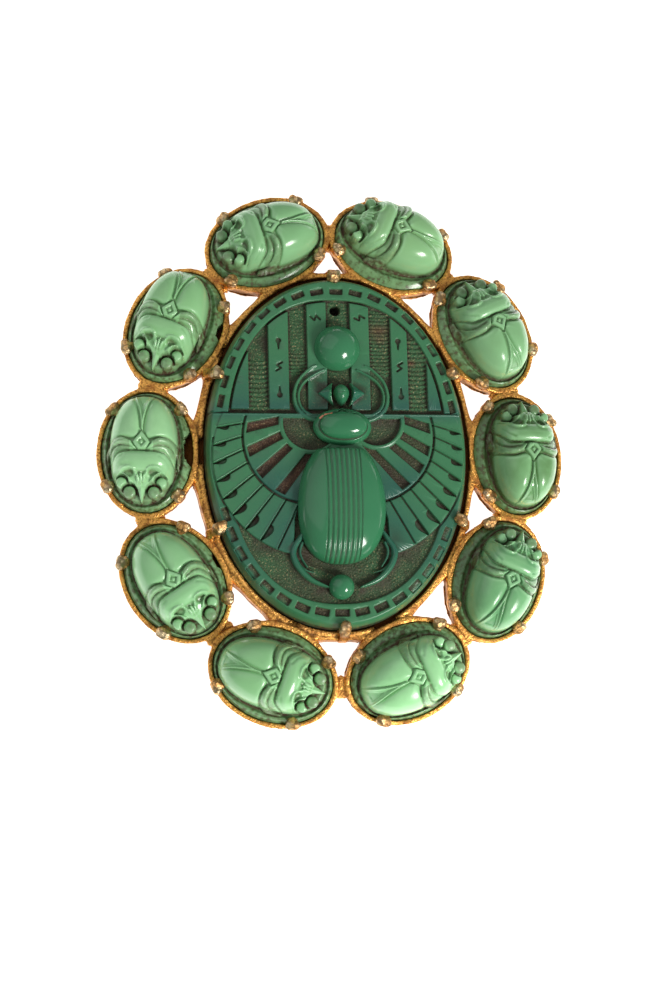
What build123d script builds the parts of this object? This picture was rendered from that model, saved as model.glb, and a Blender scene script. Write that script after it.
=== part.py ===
from build123d import *
import os
from collections import namedtuple
from math import atan2, cos, degrees, radians, sin

# Scarab brooch, in millimetres.
# It lies face up: +Z points at the viewer, +Y is its top, and Z 0 is the surface it lies on.
# The origin is under the middle of the centre ring.

# Centre ring, an oval wall with a raised floor that carries the plaque
ring_half_width = 17.25
ring_half_height = 22.9
ring_wall = 0.65
ring_depth = 2.2
ring_floor = 0.4
ring_recess = 1.0

# Cups, ten oval walls with closed floors round the ring, leaning outwards
cup_half_length = 8.03
cup_half_width = 6.14
cup_wall = 0.6
cup_depth = 2.2
cup_floor = 0.4
cup_lean = 7.5
cup_rim_drop = 0.61

# Webs, flat plates with hollow sides between neighbouring cups
web_thickness = 0.9
web_drop = 0.08
web_length = 6.0
web_hollow_length = 2.4
web_hollow_depth = 1.5

# Claws, folded over the edge of what they hold
claw_width = 1.05
claw_tip_width = 0.6
claw_thickness = 0.42
claw_root = 1.3
claw_reach = 1.35
claw_gap = 0.12

# Plaque, a pressed glass oval in the ring
plaque_gap = 0.45
seat_gap = 0.05
plaque_girdle = 1.35
plaque_shoulder = 1.6
shoulder_inset = 0.65
ground_depth = 0.42
groove_depth = 0.3

# Border band of the plaque, measured inwards from the plaque's outline
cell_inset = 1.7
cell_length = 1.7
cell_width = 0.95
border_inset = 2.75
upper_cells = 19
upper_cells_from = 17.0
upper_cells_to = 163.0
lower_cells = 17
lower_cells_from = -155.0
lower_cells_to = -25.0

# Upper field of the plaque: a line, raised bars and a drilled hole
shoulder_line = 4.35
line_width = 0.3
hole_radius = 0.62
hole_y = 17.45
hole_depth = 2.2

# Wings of the plaque, mirrored about X 0: outer edge, band groove and inner sector are arcs
wing_outer_x = 2.65
wing_outer_y = -0.45
wing_outer_radius = 12.75
wing_band_x = 3.75
wing_band_y = 1.45
wing_band_radius = 7.85
wing_band_groove = 0.34
sector_x = 3.5
sector_y = 3.8
sector_radius = 3.9
sector_rim = 0.37
wing_cells = 4
wing_cell_fan_x = 0.6
wing_cell_fan_y = 5.45
wing_cell_start = -14.0
wing_cell_step = -14.0
wing_cell_spread = 3.1
wing_cell_margin = 0.42
feathers = 9
feather_groove = 0.2
feather_inner_start = 12.0
feather_inner_step = -11.1
feather_outer_start = 13.4
feather_outer_step = -9.75
notch_length = 1.25
notch_width = 0.55
body_gap_half_width = 5.5

# Raised scarab of the plaque: places on it, half sizes and heights above its face
disc_y = 12.2
disc_radius = 2.75
disc_rise = 2.3
bead_y = 6.9
bead_radius = 1.07
bead_rise = 1.5
mandible_root = 0.6
mandible_shoulder = 1.7
mandible_reach = 2.85
mandible_half_height = 1.2
mandible_rise = 1.15
mandible_taper = 22.0
collar_y = 2.6
collar_half_width = 3.5
collar_half_height = 2.35
collar_rise = 1.3
thorax_y = 2.45
thorax_half_width = 3.1
thorax_half_height = 1.6
thorax_rise = 2.3
body_y = -6.9
body_half_width = 5.25
body_half_height = 7.75
body_top = 0.15
body_rise = 3.0
body_ribs = 7
rib_pitch = 0.56
rib_groove_width = 0.16
rib_groove_depth = 0.2
ball_y = -16.8
ball_radius = 1.53
ball_rise = 1.5
hind_leg_width = 0.62
hind_leg_rise = 0.35
front_leg_width = 0.5
front_leg_rise = 0.25

# Scarab stones, one mould: +X is the head end
stone_half_length = 7.0
stone_half_width = 5.25
flange_height = 1.7
flange_round = 0.28
channel_outer = 0.91
channel_depth = 0.45
beetle_share = 0.83
beetle_height = 5.2
relief = 0.28
ridge_width = 0.34
band_width = 0.75
brow_width = 0.45
eye_radius = 0.8
cheek_radius = 0.62

# Pin on the back: bar, hinge block, stem and catch in one piece
pin_y = 6.5
bar_length = 28.0
bar_width = 3.4
bar_thickness = 0.45
stem_diameter = 0.9
stem_point = 3.0
stem_tip = 0.1
hinge_length = 2.6
hinge_width = 1.7
catch_length = 2.0
catch_wall = 0.3
catch_clearance = 0.06
pin_lift = 0.04

# Heights that follow from the sizes above
lean_sine = sin(radians(cup_lean))
lean_cosine = cos(radians(cup_lean))
cup_rim = cup_depth * lean_cosine + cup_half_width * lean_sine
ring_rim = cup_rim + cup_rim_drop
ring_bottom = ring_rim - ring_depth
floor_under = ring_bottom + ring_recess
floor_top = floor_under + ring_floor
seat = floor_top + seat_gap
girdle = seat + plaque_girdle
face = girdle + plaque_shoulder
raised_root = ground_depth * 1.5
plaque_half_width = ring_half_width - ring_wall - plaque_gap
plaque_half_height = ring_half_height - ring_wall - plaque_gap
stone_seat = cup_floor - cup_depth + seat_gap
flange_top = stone_seat + flange_height

# One row a cup, counterclockwise from the top left.
# at: where it stands on the ring, in degrees round the oval; sink: how far its wall runs into the ring's;
# turn: its long axis from the ring's tangent; stone_turn: its stone from that; claws: round its own oval.
Cup = namedtuple("Cup", "name at sink turn stone_turn claws")
cups = [
    Cup("01", 108.8, 0.58, -2.1, -4.0, (35, 134, 223, 301)),
    Cup("02", 145.1, 0.34, 2.3, 5.0, (49, 127, 223, 310)),
    Cup("03", 179.8, 0.48, -0.9, 1.9, (44, 133, 227, 304)),
    Cup("04", 214.1, 0.12, 6.5, -1.2, (46, 129, 225, 305)),
    Cup("05", 250.7, 0.32, 2.9, 2.4, (43, 124, 220, 304)),
    Cup("06", 289.7, 0.53, -0.4, -1.0, (40, 130, 225, 305)),
    Cup("07", 325.9, 0.12, 6.4, -3.0, (37, 130, 232, 306)),
    Cup("08", 359.8, 0.62, 3.1, -3.0, (36, 131, 231, 304)),
    Cup("09", 394.6, 0.41, -0.8, -1.6, (37, 138, 233, 305)),
    Cup("10", 430.9, 0.61, 5.1, -4.0, (35, 141, 223, 303)),
]

# One row a web, each between its cup and the next one in the table above.
# out: from the middle between the two cups, away from the ring; waist: its narrowest width.
Web = namedtuple("Web", "out waist")
webs = [
    Web(0.93, 3.5),
    Web(1.05, 3.3),
    Web(1.32, 3.2),
    Web(0.78, 3.5),
    Web(1.68, 2.5),
    Web(1.54, 2.9),
    Web(0.51, 3.8),
    Web(0.64, 3.4),
    Web(1.21, 3.0),
    Web(1.0, 3.0),
]

# Claws of the centre ring, in degrees round its oval
ring_claws = (26, 90, 155, 206, 271, 337)

# Raised bars of the upper field, by their edges from the middle
Bar = namedtuple("Bar", "inner outer")
bars = [Bar(1.45, 3.85), Bar(6.15, 8.5), Bar(10.9, 13.4)]

# Curves of the plaque's legs, on the right-hand side
LegPoint = namedtuple("LegPoint", "x y")
hind_leg = [
    LegPoint(4.6, -10.2),
    LegPoint(6.1, -12.6),
    LegPoint(5.5, -14.8),
    LegPoint(3.9, -16.1),
    LegPoint(1.2, -16.8),
]
front_leg = [LegPoint(2.4, 10.4), LegPoint(4.6, 9.0), LegPoint(5.7, 6.8), LegPoint(5.0, 4.4), LegPoint(3.3, 3.5)]

# Chips in the flanges: the stone, the place round its oval, and the length and width broken away
Chip = namedtuple("Chip", "name at length width")
chips = [Chip("03", 93, 3.4, 1.3), Chip("02", 104, 1.5, 1.1), Chip("04", 84, 1.6, 0.7)]


def oval_point(half_x, half_y, at):
    """A point of an oval and the outward direction there, for an angle round the oval in degrees."""
    t = radians(at)
    out = Vector(cos(t) / half_x, sin(t) / half_y, 0).normalized()
    return Vector(half_x * cos(t), half_y * sin(t), 0), out


def even_angles(first, last, count):
    """Angles round the plaque, in degrees, that stand at even distances along its outline."""
    steps = 400
    angles = [first + (last - first) * i / steps for i in range(steps + 1)]
    points = [oval_point(plaque_half_width, plaque_half_height, at)[0] for at in angles]
    walked = [0.0]
    for near, far in zip(points, points[1:]):
        walked.append(walked[-1] + (far - near).length)
    chosen = []
    for k in range(count):
        goal = walked[-1] * k / (count - 1)
        nearest = min(range(len(walked)), key=lambda i: abs(walked[i] - goal))
        chosen.append(angles[nearest])
    return chosen


def turned(plane, turn):
    """A plane turned about its own normal, in degrees."""
    x_dir = plane.x_dir * cos(radians(turn)) + plane.y_dir * sin(radians(turn))
    return Plane(origin=plane.origin, x_dir=x_dir, z_dir=plane.z_dir)


def cup_plane(cup):
    """The plane of a cup's rim: X along its long axis, counterclockwise, and Y towards the ring."""
    on_ring, out = oval_point(ring_half_width, ring_half_height, cup.at)
    centre = on_ring + out * (cup_half_width * lean_cosine - cup.sink)
    level = Plane(
        origin=(centre.X, centre.Y, cup_rim),
        x_dir=(-out.Y, out.X, 0),
        z_dir=(out.X * lean_sine, out.Y * lean_sine, lean_cosine),
    )
    return turned(level, cup.turn)


def stone_plane(cup):
    """The plane that a cup's stone is placed on, at the stone's underside."""
    return turned(cup_plane(cup), cup.stone_turn).offset(stone_seat)


def web_plate(cup, next_cup, web):
    """A flat plate from one cup to the next, with a hollow in each side."""
    near = cup_plane(cup).origin
    far = cup_plane(next_cup).origin
    along = (far - near).normalized()
    out = Vector(along.Y, -along.X, 0)
    middle = (near + far) * 0.5 + out * web.out
    side = web.waist / 2 + web_hollow_depth
    place = Plane(origin=(middle.X, middle.Y, cup_rim - web_drop), x_dir=along, z_dir=(0, 0, 1))
    with BuildPart() as plate:
        with BuildSketch(place):
            Rectangle(web_length, 2 * side)
            with Locations((0, side), (0, -side)):
                Ellipse(web_hollow_length, web_hollow_depth, mode=Mode.SUBTRACT)
        extrude(amount=-web_thickness)
    return plate.part


def claw_plane(plane, half_x, half_y, at):
    """The plane of a claw on an oval rim: X points out of the oval, Z up from the rim."""
    point, out = oval_point(half_x, half_y, at)
    origin = plane.from_local_coords(point)
    outer = plane.from_local_coords(point + out)
    return Plane(origin=origin, x_dir=outer - origin, z_dir=plane.z_dir)


def claw(profile, reach):
    """A claw from its side view, in X and Z, narrowing to its tip."""
    with BuildPart() as solid:
        with BuildSketch(Plane.XZ):
            with BuildLine():
                Polyline(*profile, close=True)
            make_face()
        extrude(amount=claw_width / 2, both=True)
        with BuildSketch(Plane.XY.offset(-claw_root)):
            with BuildLine():
                Polyline(
                    (claw_thickness, claw_width / 2),
                    (-reach / 2, claw_width / 2),
                    (-reach, claw_tip_width / 2),
                    (-reach, -claw_tip_width / 2),
                    (-reach / 2, -claw_width / 2),
                    (claw_thickness, -claw_width / 2),
                    close=True,
                )
            make_face()
        extrude(amount=claw_root + face, mode=Mode.INTERSECT)
    return solid.part


def cup_claw():
    """A short claw that folds straight over a stone's flange."""
    under = flange_top + claw_gap
    return claw(
        [
            (-cup_wall / 2, -claw_root),
            (0, -claw_root),
            (claw_thickness / 2, -claw_root / 2),
            (claw_thickness / 2, under),
            (-cup_wall / 2, under + claw_thickness * 1.2),
            (-claw_reach, under + claw_thickness / 2),
            (-claw_reach, under),
            (-cup_wall, under),
            (-cup_wall, under - claw_thickness),
        ],
        claw_reach,
    )


def ring_claw():
    """A tall claw that leans in along the plaque's shoulder and over the edge of its face."""
    edge = ring_wall + plaque_gap
    reach = edge + shoulder_inset + claw_gap
    turn = girdle - ring_rim
    top = face - ring_rim + claw_gap
    return claw(
        [
            (-ring_wall / 2, -claw_root),
            (0, -claw_root),
            (claw_thickness / 2, -claw_root / 2),
            (claw_thickness / 2, turn),
            (-edge, top + claw_thickness),
            (-reach, top + claw_thickness / 2),
            (-reach, top),
            (-edge - shoulder_inset + claw_gap, top),
            (-edge + claw_gap, turn),
            (-ring_wall, turn),
            (-ring_wall, -claw_root),
        ],
        reach,
    )


# The gilt frame
above = face

with BuildPart() as cup_block:
    with BuildSketch():
        Ellipse(cup_half_length, cup_half_width)
    extrude(amount=-cup_depth)

with BuildPart() as cup_hollow:
    with BuildSketch(Plane.XY.offset(cup_floor - cup_depth)):
        Ellipse(cup_half_length - cup_wall, cup_half_width - cup_wall)
    extrude(amount=above)

with BuildPart() as ring_hollow:
    with BuildSketch(Plane.XY.offset(floor_top)):
        Ellipse(ring_half_width - ring_wall, ring_half_height - ring_wall)
    extrude(amount=above)
    with BuildSketch(Plane.XY.offset(floor_under)):
        Ellipse(ring_half_width - ring_wall, ring_half_height - ring_wall)
    extrude(amount=-above)

cup_planes = [cup_plane(cup) for cup in cups]
web_plates = [web_plate(cups[i], cups[(i + 1) % len(cups)], web) for i, web in enumerate(webs)]
cup_claw_places = [
    claw_plane(cup_plane(cup), cup_half_length, cup_half_width, at) for cup in cups for at in cup.claws
]
ring_claw_places = [
    claw_plane(Plane.XY.offset(ring_rim), ring_half_width, ring_half_height, at) for at in ring_claws
]

with BuildPart() as gilt_frame:
    with BuildSketch(Plane.XY.offset(ring_bottom)):
        Ellipse(ring_half_width, ring_half_height)
    extrude(amount=ring_depth)
    with Locations(*cup_planes):
        add(cup_block.part)
    add(web_plates)
    add(ring_hollow.part, mode=Mode.SUBTRACT)
    with Locations(*cup_planes):
        add(cup_hollow.part, mode=Mode.SUBTRACT)
    with Locations(*cup_claw_places):
        add(cup_claw())
    with Locations(*ring_claw_places):
        add(ring_claw())

gilt_frame.part.label = "gilt_frame"
os.makedirs("parts", exist_ok=True)
export_step(gilt_frame.part, "parts/gilt_frame.step")


def ball_on_face(radius, rise, y):
    """A ball that stands out of the plaque's face by its rise."""
    with BuildPart(Plane.XY.offset(face)) as solid:
        with Locations((0, y, rise - radius)):
            Sphere(radius)
        split(bisect_by=Plane.XY.offset(face - raised_root), keep=Keep.TOP)
    return solid.part


def dome_on_face(half_width, half_height, rise, y):
    """An oval dome on the plaque's face."""
    with BuildPart() as unit:
        Sphere(1)
        scale(by=(half_width, half_height, rise))
        split(bisect_by=Plane.XY.offset(-raised_root), keep=Keep.TOP)
    with BuildPart(Plane.XY.offset(face)) as solid:
        with Locations((0, y, 0)):
            add(unit.part)
    return solid.part


def groove_between(start, end, width):
    """A straight groove on the plaque's face, for the sketch that calls it."""
    middle = (start + end) * 0.5
    run = end - start
    turn = degrees(atan2(run.Y, run.X))
    with Locations(Location((middle.X, middle.Y, 0), (0, 0, turn))):
        Rectangle(run.length, width)


def arc_point(x, y, radius, at):
    """A point on an arc of the wing, for an angle in degrees."""
    return Vector(x + radius * cos(radians(at)), y + radius * sin(radians(at)), 0)


def raised_line(points, width, rise):
    """A raised line on the plaque along a curve, mirrored about X 0."""
    with BuildPart() as solid:
        with BuildSketch(Plane.XY.offset(face - raised_root)):
            with BuildLine():
                Spline(*[(point.x, point.y) for point in points])
            trace(line_width=width)
            mirror(about=Plane.YZ)
        extrude(amount=raised_root + rise)
    return solid.part


# The winged plaque
face_plane = Plane.XY.offset(face)
inner_half_width = plaque_half_width - border_inset
inner_half_height = plaque_half_height - border_inset

with BuildPart() as grounds:
    with BuildSketch(face_plane):
        Ellipse(inner_half_width, inner_half_height)
        with Locations((0, shoulder_line)):
            Rectangle(
                2 * plaque_half_width,
                plaque_half_height,
                align=(Align.CENTER, Align.MIN),
                mode=Mode.INTERSECT,
            )
        for bar in bars:
            middle = (bar.inner + bar.outer) / 2
            with Locations((middle, 0), (-middle, 0)):
                Rectangle(bar.outer - bar.inner, 2 * plaque_half_height, mode=Mode.SUBTRACT)
    with BuildSketch(face_plane):
        Ellipse(inner_half_width, inner_half_height)
        Rectangle(
            2 * plaque_half_width,
            plaque_half_height,
            align=(Align.CENTER, Align.MAX),
            mode=Mode.INTERSECT,
        )
        with Locations((wing_outer_x, wing_outer_y), (-wing_outer_x, wing_outer_y)):
            Circle(wing_outer_radius, mode=Mode.SUBTRACT)
        with Locations((0, body_y - body_half_height)):
            Rectangle(2 * body_gap_half_width, 2 * body_half_height)
    with BuildSketch(face_plane):
        with Locations((sector_x, sector_y), (-sector_x, sector_y)):
            Circle(sector_radius - sector_rim)
        with Locations((0, sector_y)):
            Rectangle(
                2 * plaque_half_width,
                plaque_half_height,
                align=(Align.CENTER, Align.MAX),
                mode=Mode.INTERSECT,
            )
    with BuildSketch(face_plane):
        for number in range(wing_cells):
            at = wing_cell_start + wing_cell_step * number
            fan = Vector(wing_cell_fan_x, wing_cell_fan_y, 0)
            upper = fan + Vector(1, 0, 0).rotate(Axis.Z, at + wing_cell_spread) * wing_outer_radius
            lower = fan + Vector(1, 0, 0).rotate(Axis.Z, at - wing_cell_spread) * wing_outer_radius
            Polygon((fan.X, fan.Y), (lower.X, lower.Y), (upper.X, upper.Y), align=None)
        with Locations((wing_band_x, wing_band_y)):
            Circle(wing_band_radius - wing_cell_margin, mode=Mode.INTERSECT)
        with Locations((sector_x, sector_y)):
            Circle(sector_radius + sector_rim, mode=Mode.SUBTRACT)
        mirror(about=Plane.YZ)
    extrude(amount=-ground_depth)

with BuildPart() as border_cells:
    with BuildSketch(face_plane):
        angles = even_angles(upper_cells_from, upper_cells_to, upper_cells)
        angles += even_angles(lower_cells_from, lower_cells_to, lower_cells)
        for at in angles:
            point, out = oval_point(plaque_half_width, plaque_half_height, at)
            middle = point - out * cell_inset
            along = Vector(-out.Y, out.X, 0) * (cell_length / 2)
            groove_between(middle - along, middle + along, cell_width)
    extrude(amount=-ground_depth)

with BuildPart() as grooves:
    with BuildSketch(face_plane):
        Ellipse(inner_half_width, inner_half_height)
        Ellipse(inner_half_width - line_width, inner_half_height - line_width, mode=Mode.SUBTRACT)
        with Locations((0, shoulder_line)):
            Rectangle(
                2 * plaque_half_width,
                plaque_half_height,
                align=(Align.CENTER, Align.MIN),
                mode=Mode.INTERSECT,
            )
        with Locations((0, shoulder_line)):
            Rectangle(2 * plaque_half_width, line_width)
    with BuildSketch(face_plane):
        with Locations((wing_band_x, wing_band_y)):
            Circle(wing_band_radius + wing_band_groove / 2)
            Circle(wing_band_radius - wing_band_groove / 2, mode=Mode.SUBTRACT)
        with Locations((wing_band_x, shoulder_line)):
            Rectangle(
                2 * plaque_half_width,
                plaque_half_height,
                align=(Align.MIN, Align.MAX),
                mode=Mode.INTERSECT,
            )
        for number in range(feathers):
            inner_at = feather_inner_start + feather_inner_step * number
            outer_at = feather_outer_start + feather_outer_step * number
            inner = arc_point(wing_band_x, wing_band_y, wing_band_radius, inner_at)
            outer = arc_point(wing_outer_x, wing_outer_y, wing_outer_radius + feather_groove, outer_at)
            groove_between(inner, outer, feather_groove)
            back = outer + (inner - outer).normalized() * notch_length
            low = back + (inner - outer).normalized().rotate(Axis.Z, 90) * notch_width
            if number < feathers - 1:
                Polygon((outer.X, outer.Y), (back.X, back.Y), (low.X, low.Y), align=None)
        mirror(about=Plane.YZ)
    extrude(amount=-groove_depth)

with BuildPart() as rib_grooves:
    with BuildSketch(face_plane):
        with GridLocations(rib_pitch, 0, body_ribs + 1, 1):
            with Locations((0, body_y)):
                Rectangle(rib_groove_width, 2 * body_half_height)
    extrude(amount=body_rise)
    add(
        dome_on_face(
            body_half_width - rib_groove_depth,
            body_half_height - rib_groove_depth,
            body_rise - rib_groove_depth,
            body_y,
        ),
        mode=Mode.SUBTRACT,
    )

with BuildPart() as ribbed_body:
    add(dome_on_face(body_half_width, body_half_height, body_rise, body_y))
    split(bisect_by=Plane.XZ.offset(-body_top), keep=Keep.TOP)
    add(rib_grooves.part, mode=Mode.SUBTRACT)

mandible = [
    (mandible_root, mandible_half_height / 2),
    (mandible_shoulder, mandible_half_height),
    (mandible_reach, 0),
    (mandible_shoulder, -mandible_half_height),
    (mandible_root, -mandible_half_height / 2),
]

with BuildPart() as mandibles:
    for amount, taper in ((mandible_rise, mandible_taper), (-raised_root, 0)):
        with BuildSketch(face_plane):
            Polygon(*mandible, align=None)
            mirror(about=Plane.YZ)
        extrude(amount=amount, taper=taper)

with BuildPart() as winged_scarab_plaque:
    with BuildSketch(Plane.XY.offset(seat)):
        Ellipse(plaque_half_width, plaque_half_height)
    extrude(amount=plaque_girdle)
    with BuildSketch(Plane.XY.offset(girdle)):
        Ellipse(plaque_half_width, plaque_half_height)
    with BuildSketch(face_plane):
        Ellipse(plaque_half_width - shoulder_inset, plaque_half_height - shoulder_inset)
    loft()
    add([grounds.part, border_cells.part, grooves.part], mode=Mode.SUBTRACT)
    with BuildSketch(face_plane):
        with Locations((0, hole_y)):
            Circle(hole_radius)
    extrude(amount=-hole_depth, mode=Mode.SUBTRACT)
    with Locations((0, bead_y, 0)):
        add(mandibles.part)
    add(
        [
            ball_on_face(disc_radius, disc_rise, disc_y),
            ball_on_face(bead_radius, bead_rise, bead_y),
            ball_on_face(ball_radius, ball_rise, ball_y),
            dome_on_face(collar_half_width, collar_half_height, collar_rise, collar_y),
            dome_on_face(thorax_half_width, thorax_half_height, thorax_rise, thorax_y),
            ribbed_body.part,
            raised_line(hind_leg, hind_leg_width, hind_leg_rise),
            raised_line(front_leg, front_leg_width, front_leg_rise),
        ]
    )

winged_scarab_plaque.part.label = "winged_scarab_plaque"
export_step(winged_scarab_plaque.part, "parts/winged_scarab_plaque.step")


def beetle_dome(extra):
    """The beetle's dome on its flange, made larger all over by a little for what stands out of it."""
    base = flange_height - channel_depth
    half_length = stone_half_length * beetle_share + extra
    half_width = stone_half_width * beetle_share + extra
    with BuildPart() as unit:
        Sphere(1)
        scale(by=(half_length, half_width, beetle_height - relief - base + extra))
        split(bisect_by=Plane.XY.offset(-base / 2), keep=Keep.TOP)
    with BuildPart(Plane.XY.offset(base)) as solid:
        add(unit.part)
    return solid.part


def at_share(along, across):
    """A point on the stone's plan: along from its middle to its head, across to its side, as shares."""
    return (stone_half_length * along, stone_half_width * across)


def dome_height(along, across):
    """The height of the beetle's dome over a point of its plan, given as shares."""
    base = flange_height - channel_depth
    left = 1 - (along / beetle_share) ** 2 - (across / beetle_share) ** 2
    return base + (beetle_height - relief - base) * max(left, 0) ** 0.5


# The scarab stone's mould: its lines by shares of the half length and half width
Knob = namedtuple("Knob", "along across radius")
knobs = [Knob(0.72, 0.28, eye_radius), Knob(0.55, 0.49, cheek_radius)]
ridge_start = (-0.15, 0.0)
ridge_fork = (-0.64, 0.0)
ridge_end = (-0.92, 0.23)
kite = [(-0.3, 0.0), (-0.13, 0.2), (-0.04, 0.0), (-0.13, -0.2)]
leg_band = [(-0.1, 0.12), (-0.18, 0.45), (-0.1, 0.74), (0.1, 0.8)]
shield_middle = 0.23
shield_half_length = 0.25
shield_half_width = 0.78
brow = [(0.37, 0.52), (0.5, 0.38), (0.6, 0.14)]
beak = [(0.58, 0.13), (0.88, 0.0), (0.58, -0.13)]

with BuildPart() as raised_lines:
    with BuildSketch():
        with BuildLine():
            Line(at_share(*ridge_start), at_share(*ridge_fork))
        trace(line_width=2 * ridge_width)
        with BuildLine():
            Line(at_share(*ridge_fork), at_share(*ridge_end))
        trace(line_width=ridge_width)
        with BuildLine():
            Spline(*[at_share(*point) for point in leg_band])
        trace(line_width=band_width)
        with BuildLine():
            Spline(*[at_share(*point) for point in brow])
        trace(line_width=brow_width)
        mirror(about=Plane.XZ)
        Polygon(*[at_share(*point) for point in kite], align=None)
        Polygon(*[at_share(*point) for point in beak], align=None)
        with Locations(at_share(shield_middle, 0)):
            Ellipse(stone_half_length * shield_half_length, stone_half_width * shield_half_width)
    extrude(amount=2 * beetle_height)
    add(beetle_dome(relief), mode=Mode.INTERSECT)

with BuildPart() as scarab:
    with BuildSketch():
        Ellipse(stone_half_length, stone_half_width)
    extrude(amount=flange_height)
    fillet(scarab.faces().sort_by(Axis.Z)[-1].edges(), flange_round)
    with BuildSketch(Plane.XY.offset(flange_height)):
        Ellipse(stone_half_length * channel_outer, stone_half_width * channel_outer)
    extrude(amount=-channel_depth, mode=Mode.SUBTRACT)
    add(beetle_dome(0))
    add(raised_lines.part)
    for knob in knobs:
        x, y = at_share(knob.along, knob.across)
        with Locations((x, y, dome_height(knob.along, knob.across) - knob.radius / 2)):
            Sphere(knob.radius)
        with Locations((x, -y, dome_height(knob.along, knob.across) - knob.radius / 2)):
            Sphere(knob.radius)

for cup in cups:
    with BuildPart(stone_plane(cup)) as stone:
        add(scarab.part)
        for chip in chips:
            if chip.name == cup.name:
                point, out = oval_point(stone_half_length, stone_half_width, chip.at)
                with BuildSketch(stone_plane(cup)):
                    with Locations((point.X, point.Y)):
                        Ellipse(chip.length / 2, chip.width)
                extrude(amount=flange_height, mode=Mode.SUBTRACT)
    stone.part.label = f"scarab_stone_{cup.name}"
    export_step(stone.part, f"parts/scarab_stone_{cup.name}.step")


# The pin: a bar under the ring's floor, with its hinge block, stem and catch
bar_top = floor_under - seat_gap
catch_radius = stem_diameter / 2 + catch_clearance + catch_wall
stem_z = pin_lift + catch_radius
bar_end = bar_length / 2
stem_start = hinge_length - bar_end
stem_end = bar_end - stem_point

with BuildPart() as brooch_pin:
    with BuildSketch(Plane.XY.offset(bar_top)):
        with Locations((0, pin_y)):
            SlotOverall(bar_length, bar_width)
    extrude(amount=-bar_thickness)
    with BuildSketch(Plane.XY.offset(bar_top)):
        with Locations((stem_start, pin_y)):
            Rectangle(hinge_length, hinge_width)
    extrude(amount=stem_z - stem_diameter / 2 - bar_top)
    with BuildSketch(Plane.YZ.offset(stem_end - 2 * catch_length)):
        with Locations((pin_y, stem_z)):
            Circle(catch_radius)
            Rectangle(2 * catch_wall, bar_top - stem_z, align=(Align.CENTER, Align.MIN))
            Circle(catch_radius - catch_wall, mode=Mode.SUBTRACT)
            Rectangle(catch_radius, stem_diameter, align=(Align.MIN, Align.CENTER), mode=Mode.SUBTRACT)
    extrude(amount=catch_length)
    with BuildSketch(Plane.YZ.offset(stem_start)):
        with Locations((pin_y, stem_z)):
            Circle(stem_diameter / 2)
    extrude(amount=stem_end - stem_start)
    with Locations(((stem_end + bar_end) / 2, pin_y, stem_z)):
        Cone(stem_diameter / 2, stem_tip, stem_point, rotation=(0, 90, 0))

brooch_pin.part.label = "brooch_pin"
export_step(brooch_pin.part, "parts/brooch_pin.step")
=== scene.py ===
from math import atan2, cos, pi, radians, sin

import bmesh
import bpy
import numpy as np
from bpy.props import FloatProperty, FloatVectorProperty, IntProperty, PointerProperty
from mathutils import Matrix, Vector, noise


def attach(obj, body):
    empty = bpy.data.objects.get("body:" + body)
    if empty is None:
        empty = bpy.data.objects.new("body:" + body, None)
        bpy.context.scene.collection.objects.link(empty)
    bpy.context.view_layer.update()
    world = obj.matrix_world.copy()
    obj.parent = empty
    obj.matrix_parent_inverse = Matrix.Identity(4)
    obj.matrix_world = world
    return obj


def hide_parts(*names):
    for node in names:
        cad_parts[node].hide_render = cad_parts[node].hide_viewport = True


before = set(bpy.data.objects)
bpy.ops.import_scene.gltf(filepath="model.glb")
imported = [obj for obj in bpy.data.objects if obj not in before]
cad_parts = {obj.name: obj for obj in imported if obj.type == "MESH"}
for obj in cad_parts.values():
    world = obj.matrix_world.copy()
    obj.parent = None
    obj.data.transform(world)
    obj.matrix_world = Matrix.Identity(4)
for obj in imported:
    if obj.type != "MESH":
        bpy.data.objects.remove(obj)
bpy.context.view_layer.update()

bl_info = {
    "name": "Scarab Brooch",
    "version": (1, 0, 0),
    "blender": (4, 5, 0),
    "location": "View3D > Sidebar > Brooch",
    "description": "Models a gilt brooch with a winged scarab plaque and ten scarab stones",
    "category": "Add Mesh",
}

MM = 0.001

# The part's own frame: the ring's oval, the rims' heights and the plaque's seat, in millimetres
RING = (17.25, 22.9)
RING_WALL = 0.65
CUP = (8.03, 6.14)
CUP_WALL = 0.6
CUP_DEPTH = 2.2
CUP_FLOOR = 0.4
CUP_LEAN = radians(7.5)
CUP_RIM = CUP_DEPTH * cos(CUP_LEAN) + CUP[1] * sin(CUP_LEAN)
RING_RIM = CUP_RIM + 0.61
SEAT_GAP = 0.05
RING_DEPTH = 2.2
RING_RECESS = 1.0
RING_FLOOR = 0.4
PLAQUE_GIRDLE = 1.35
PLAQUE_SHOULDER = 1.6
PLAQUE_SEAT = RING_RIM - RING_DEPTH + RING_RECESS + RING_FLOOR + SEAT_GAP
PLAQUE_FACE = PLAQUE_SEAT + PLAQUE_GIRDLE + PLAQUE_SHOULDER

# One row a cup: name, place round the ring, sink into the ring's wall, turn of the cup, turn of the stone
CUPS = (
    ("01", 108.8, 0.58, -2.1, -6.5),
    ("02", 145.1, 0.34, 2.3, 5.0),
    ("03", 179.8, 0.48, -0.9, -1.3),
    ("04", 214.1, 0.12, 6.5, -1.2),
    ("05", 250.7, 0.32, 2.9, 2.4),
    ("06", 289.7, 0.53, -0.4, -1.0),
    ("07", 325.9, 0.12, 6.4, -3.0),
    ("08", 359.8, 0.62, 3.1, -3.0),
    ("09", 394.6, 0.41, -0.8, -1.6),
    ("10", 430.9, 0.61, 5.1, -4.0),
)

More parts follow.
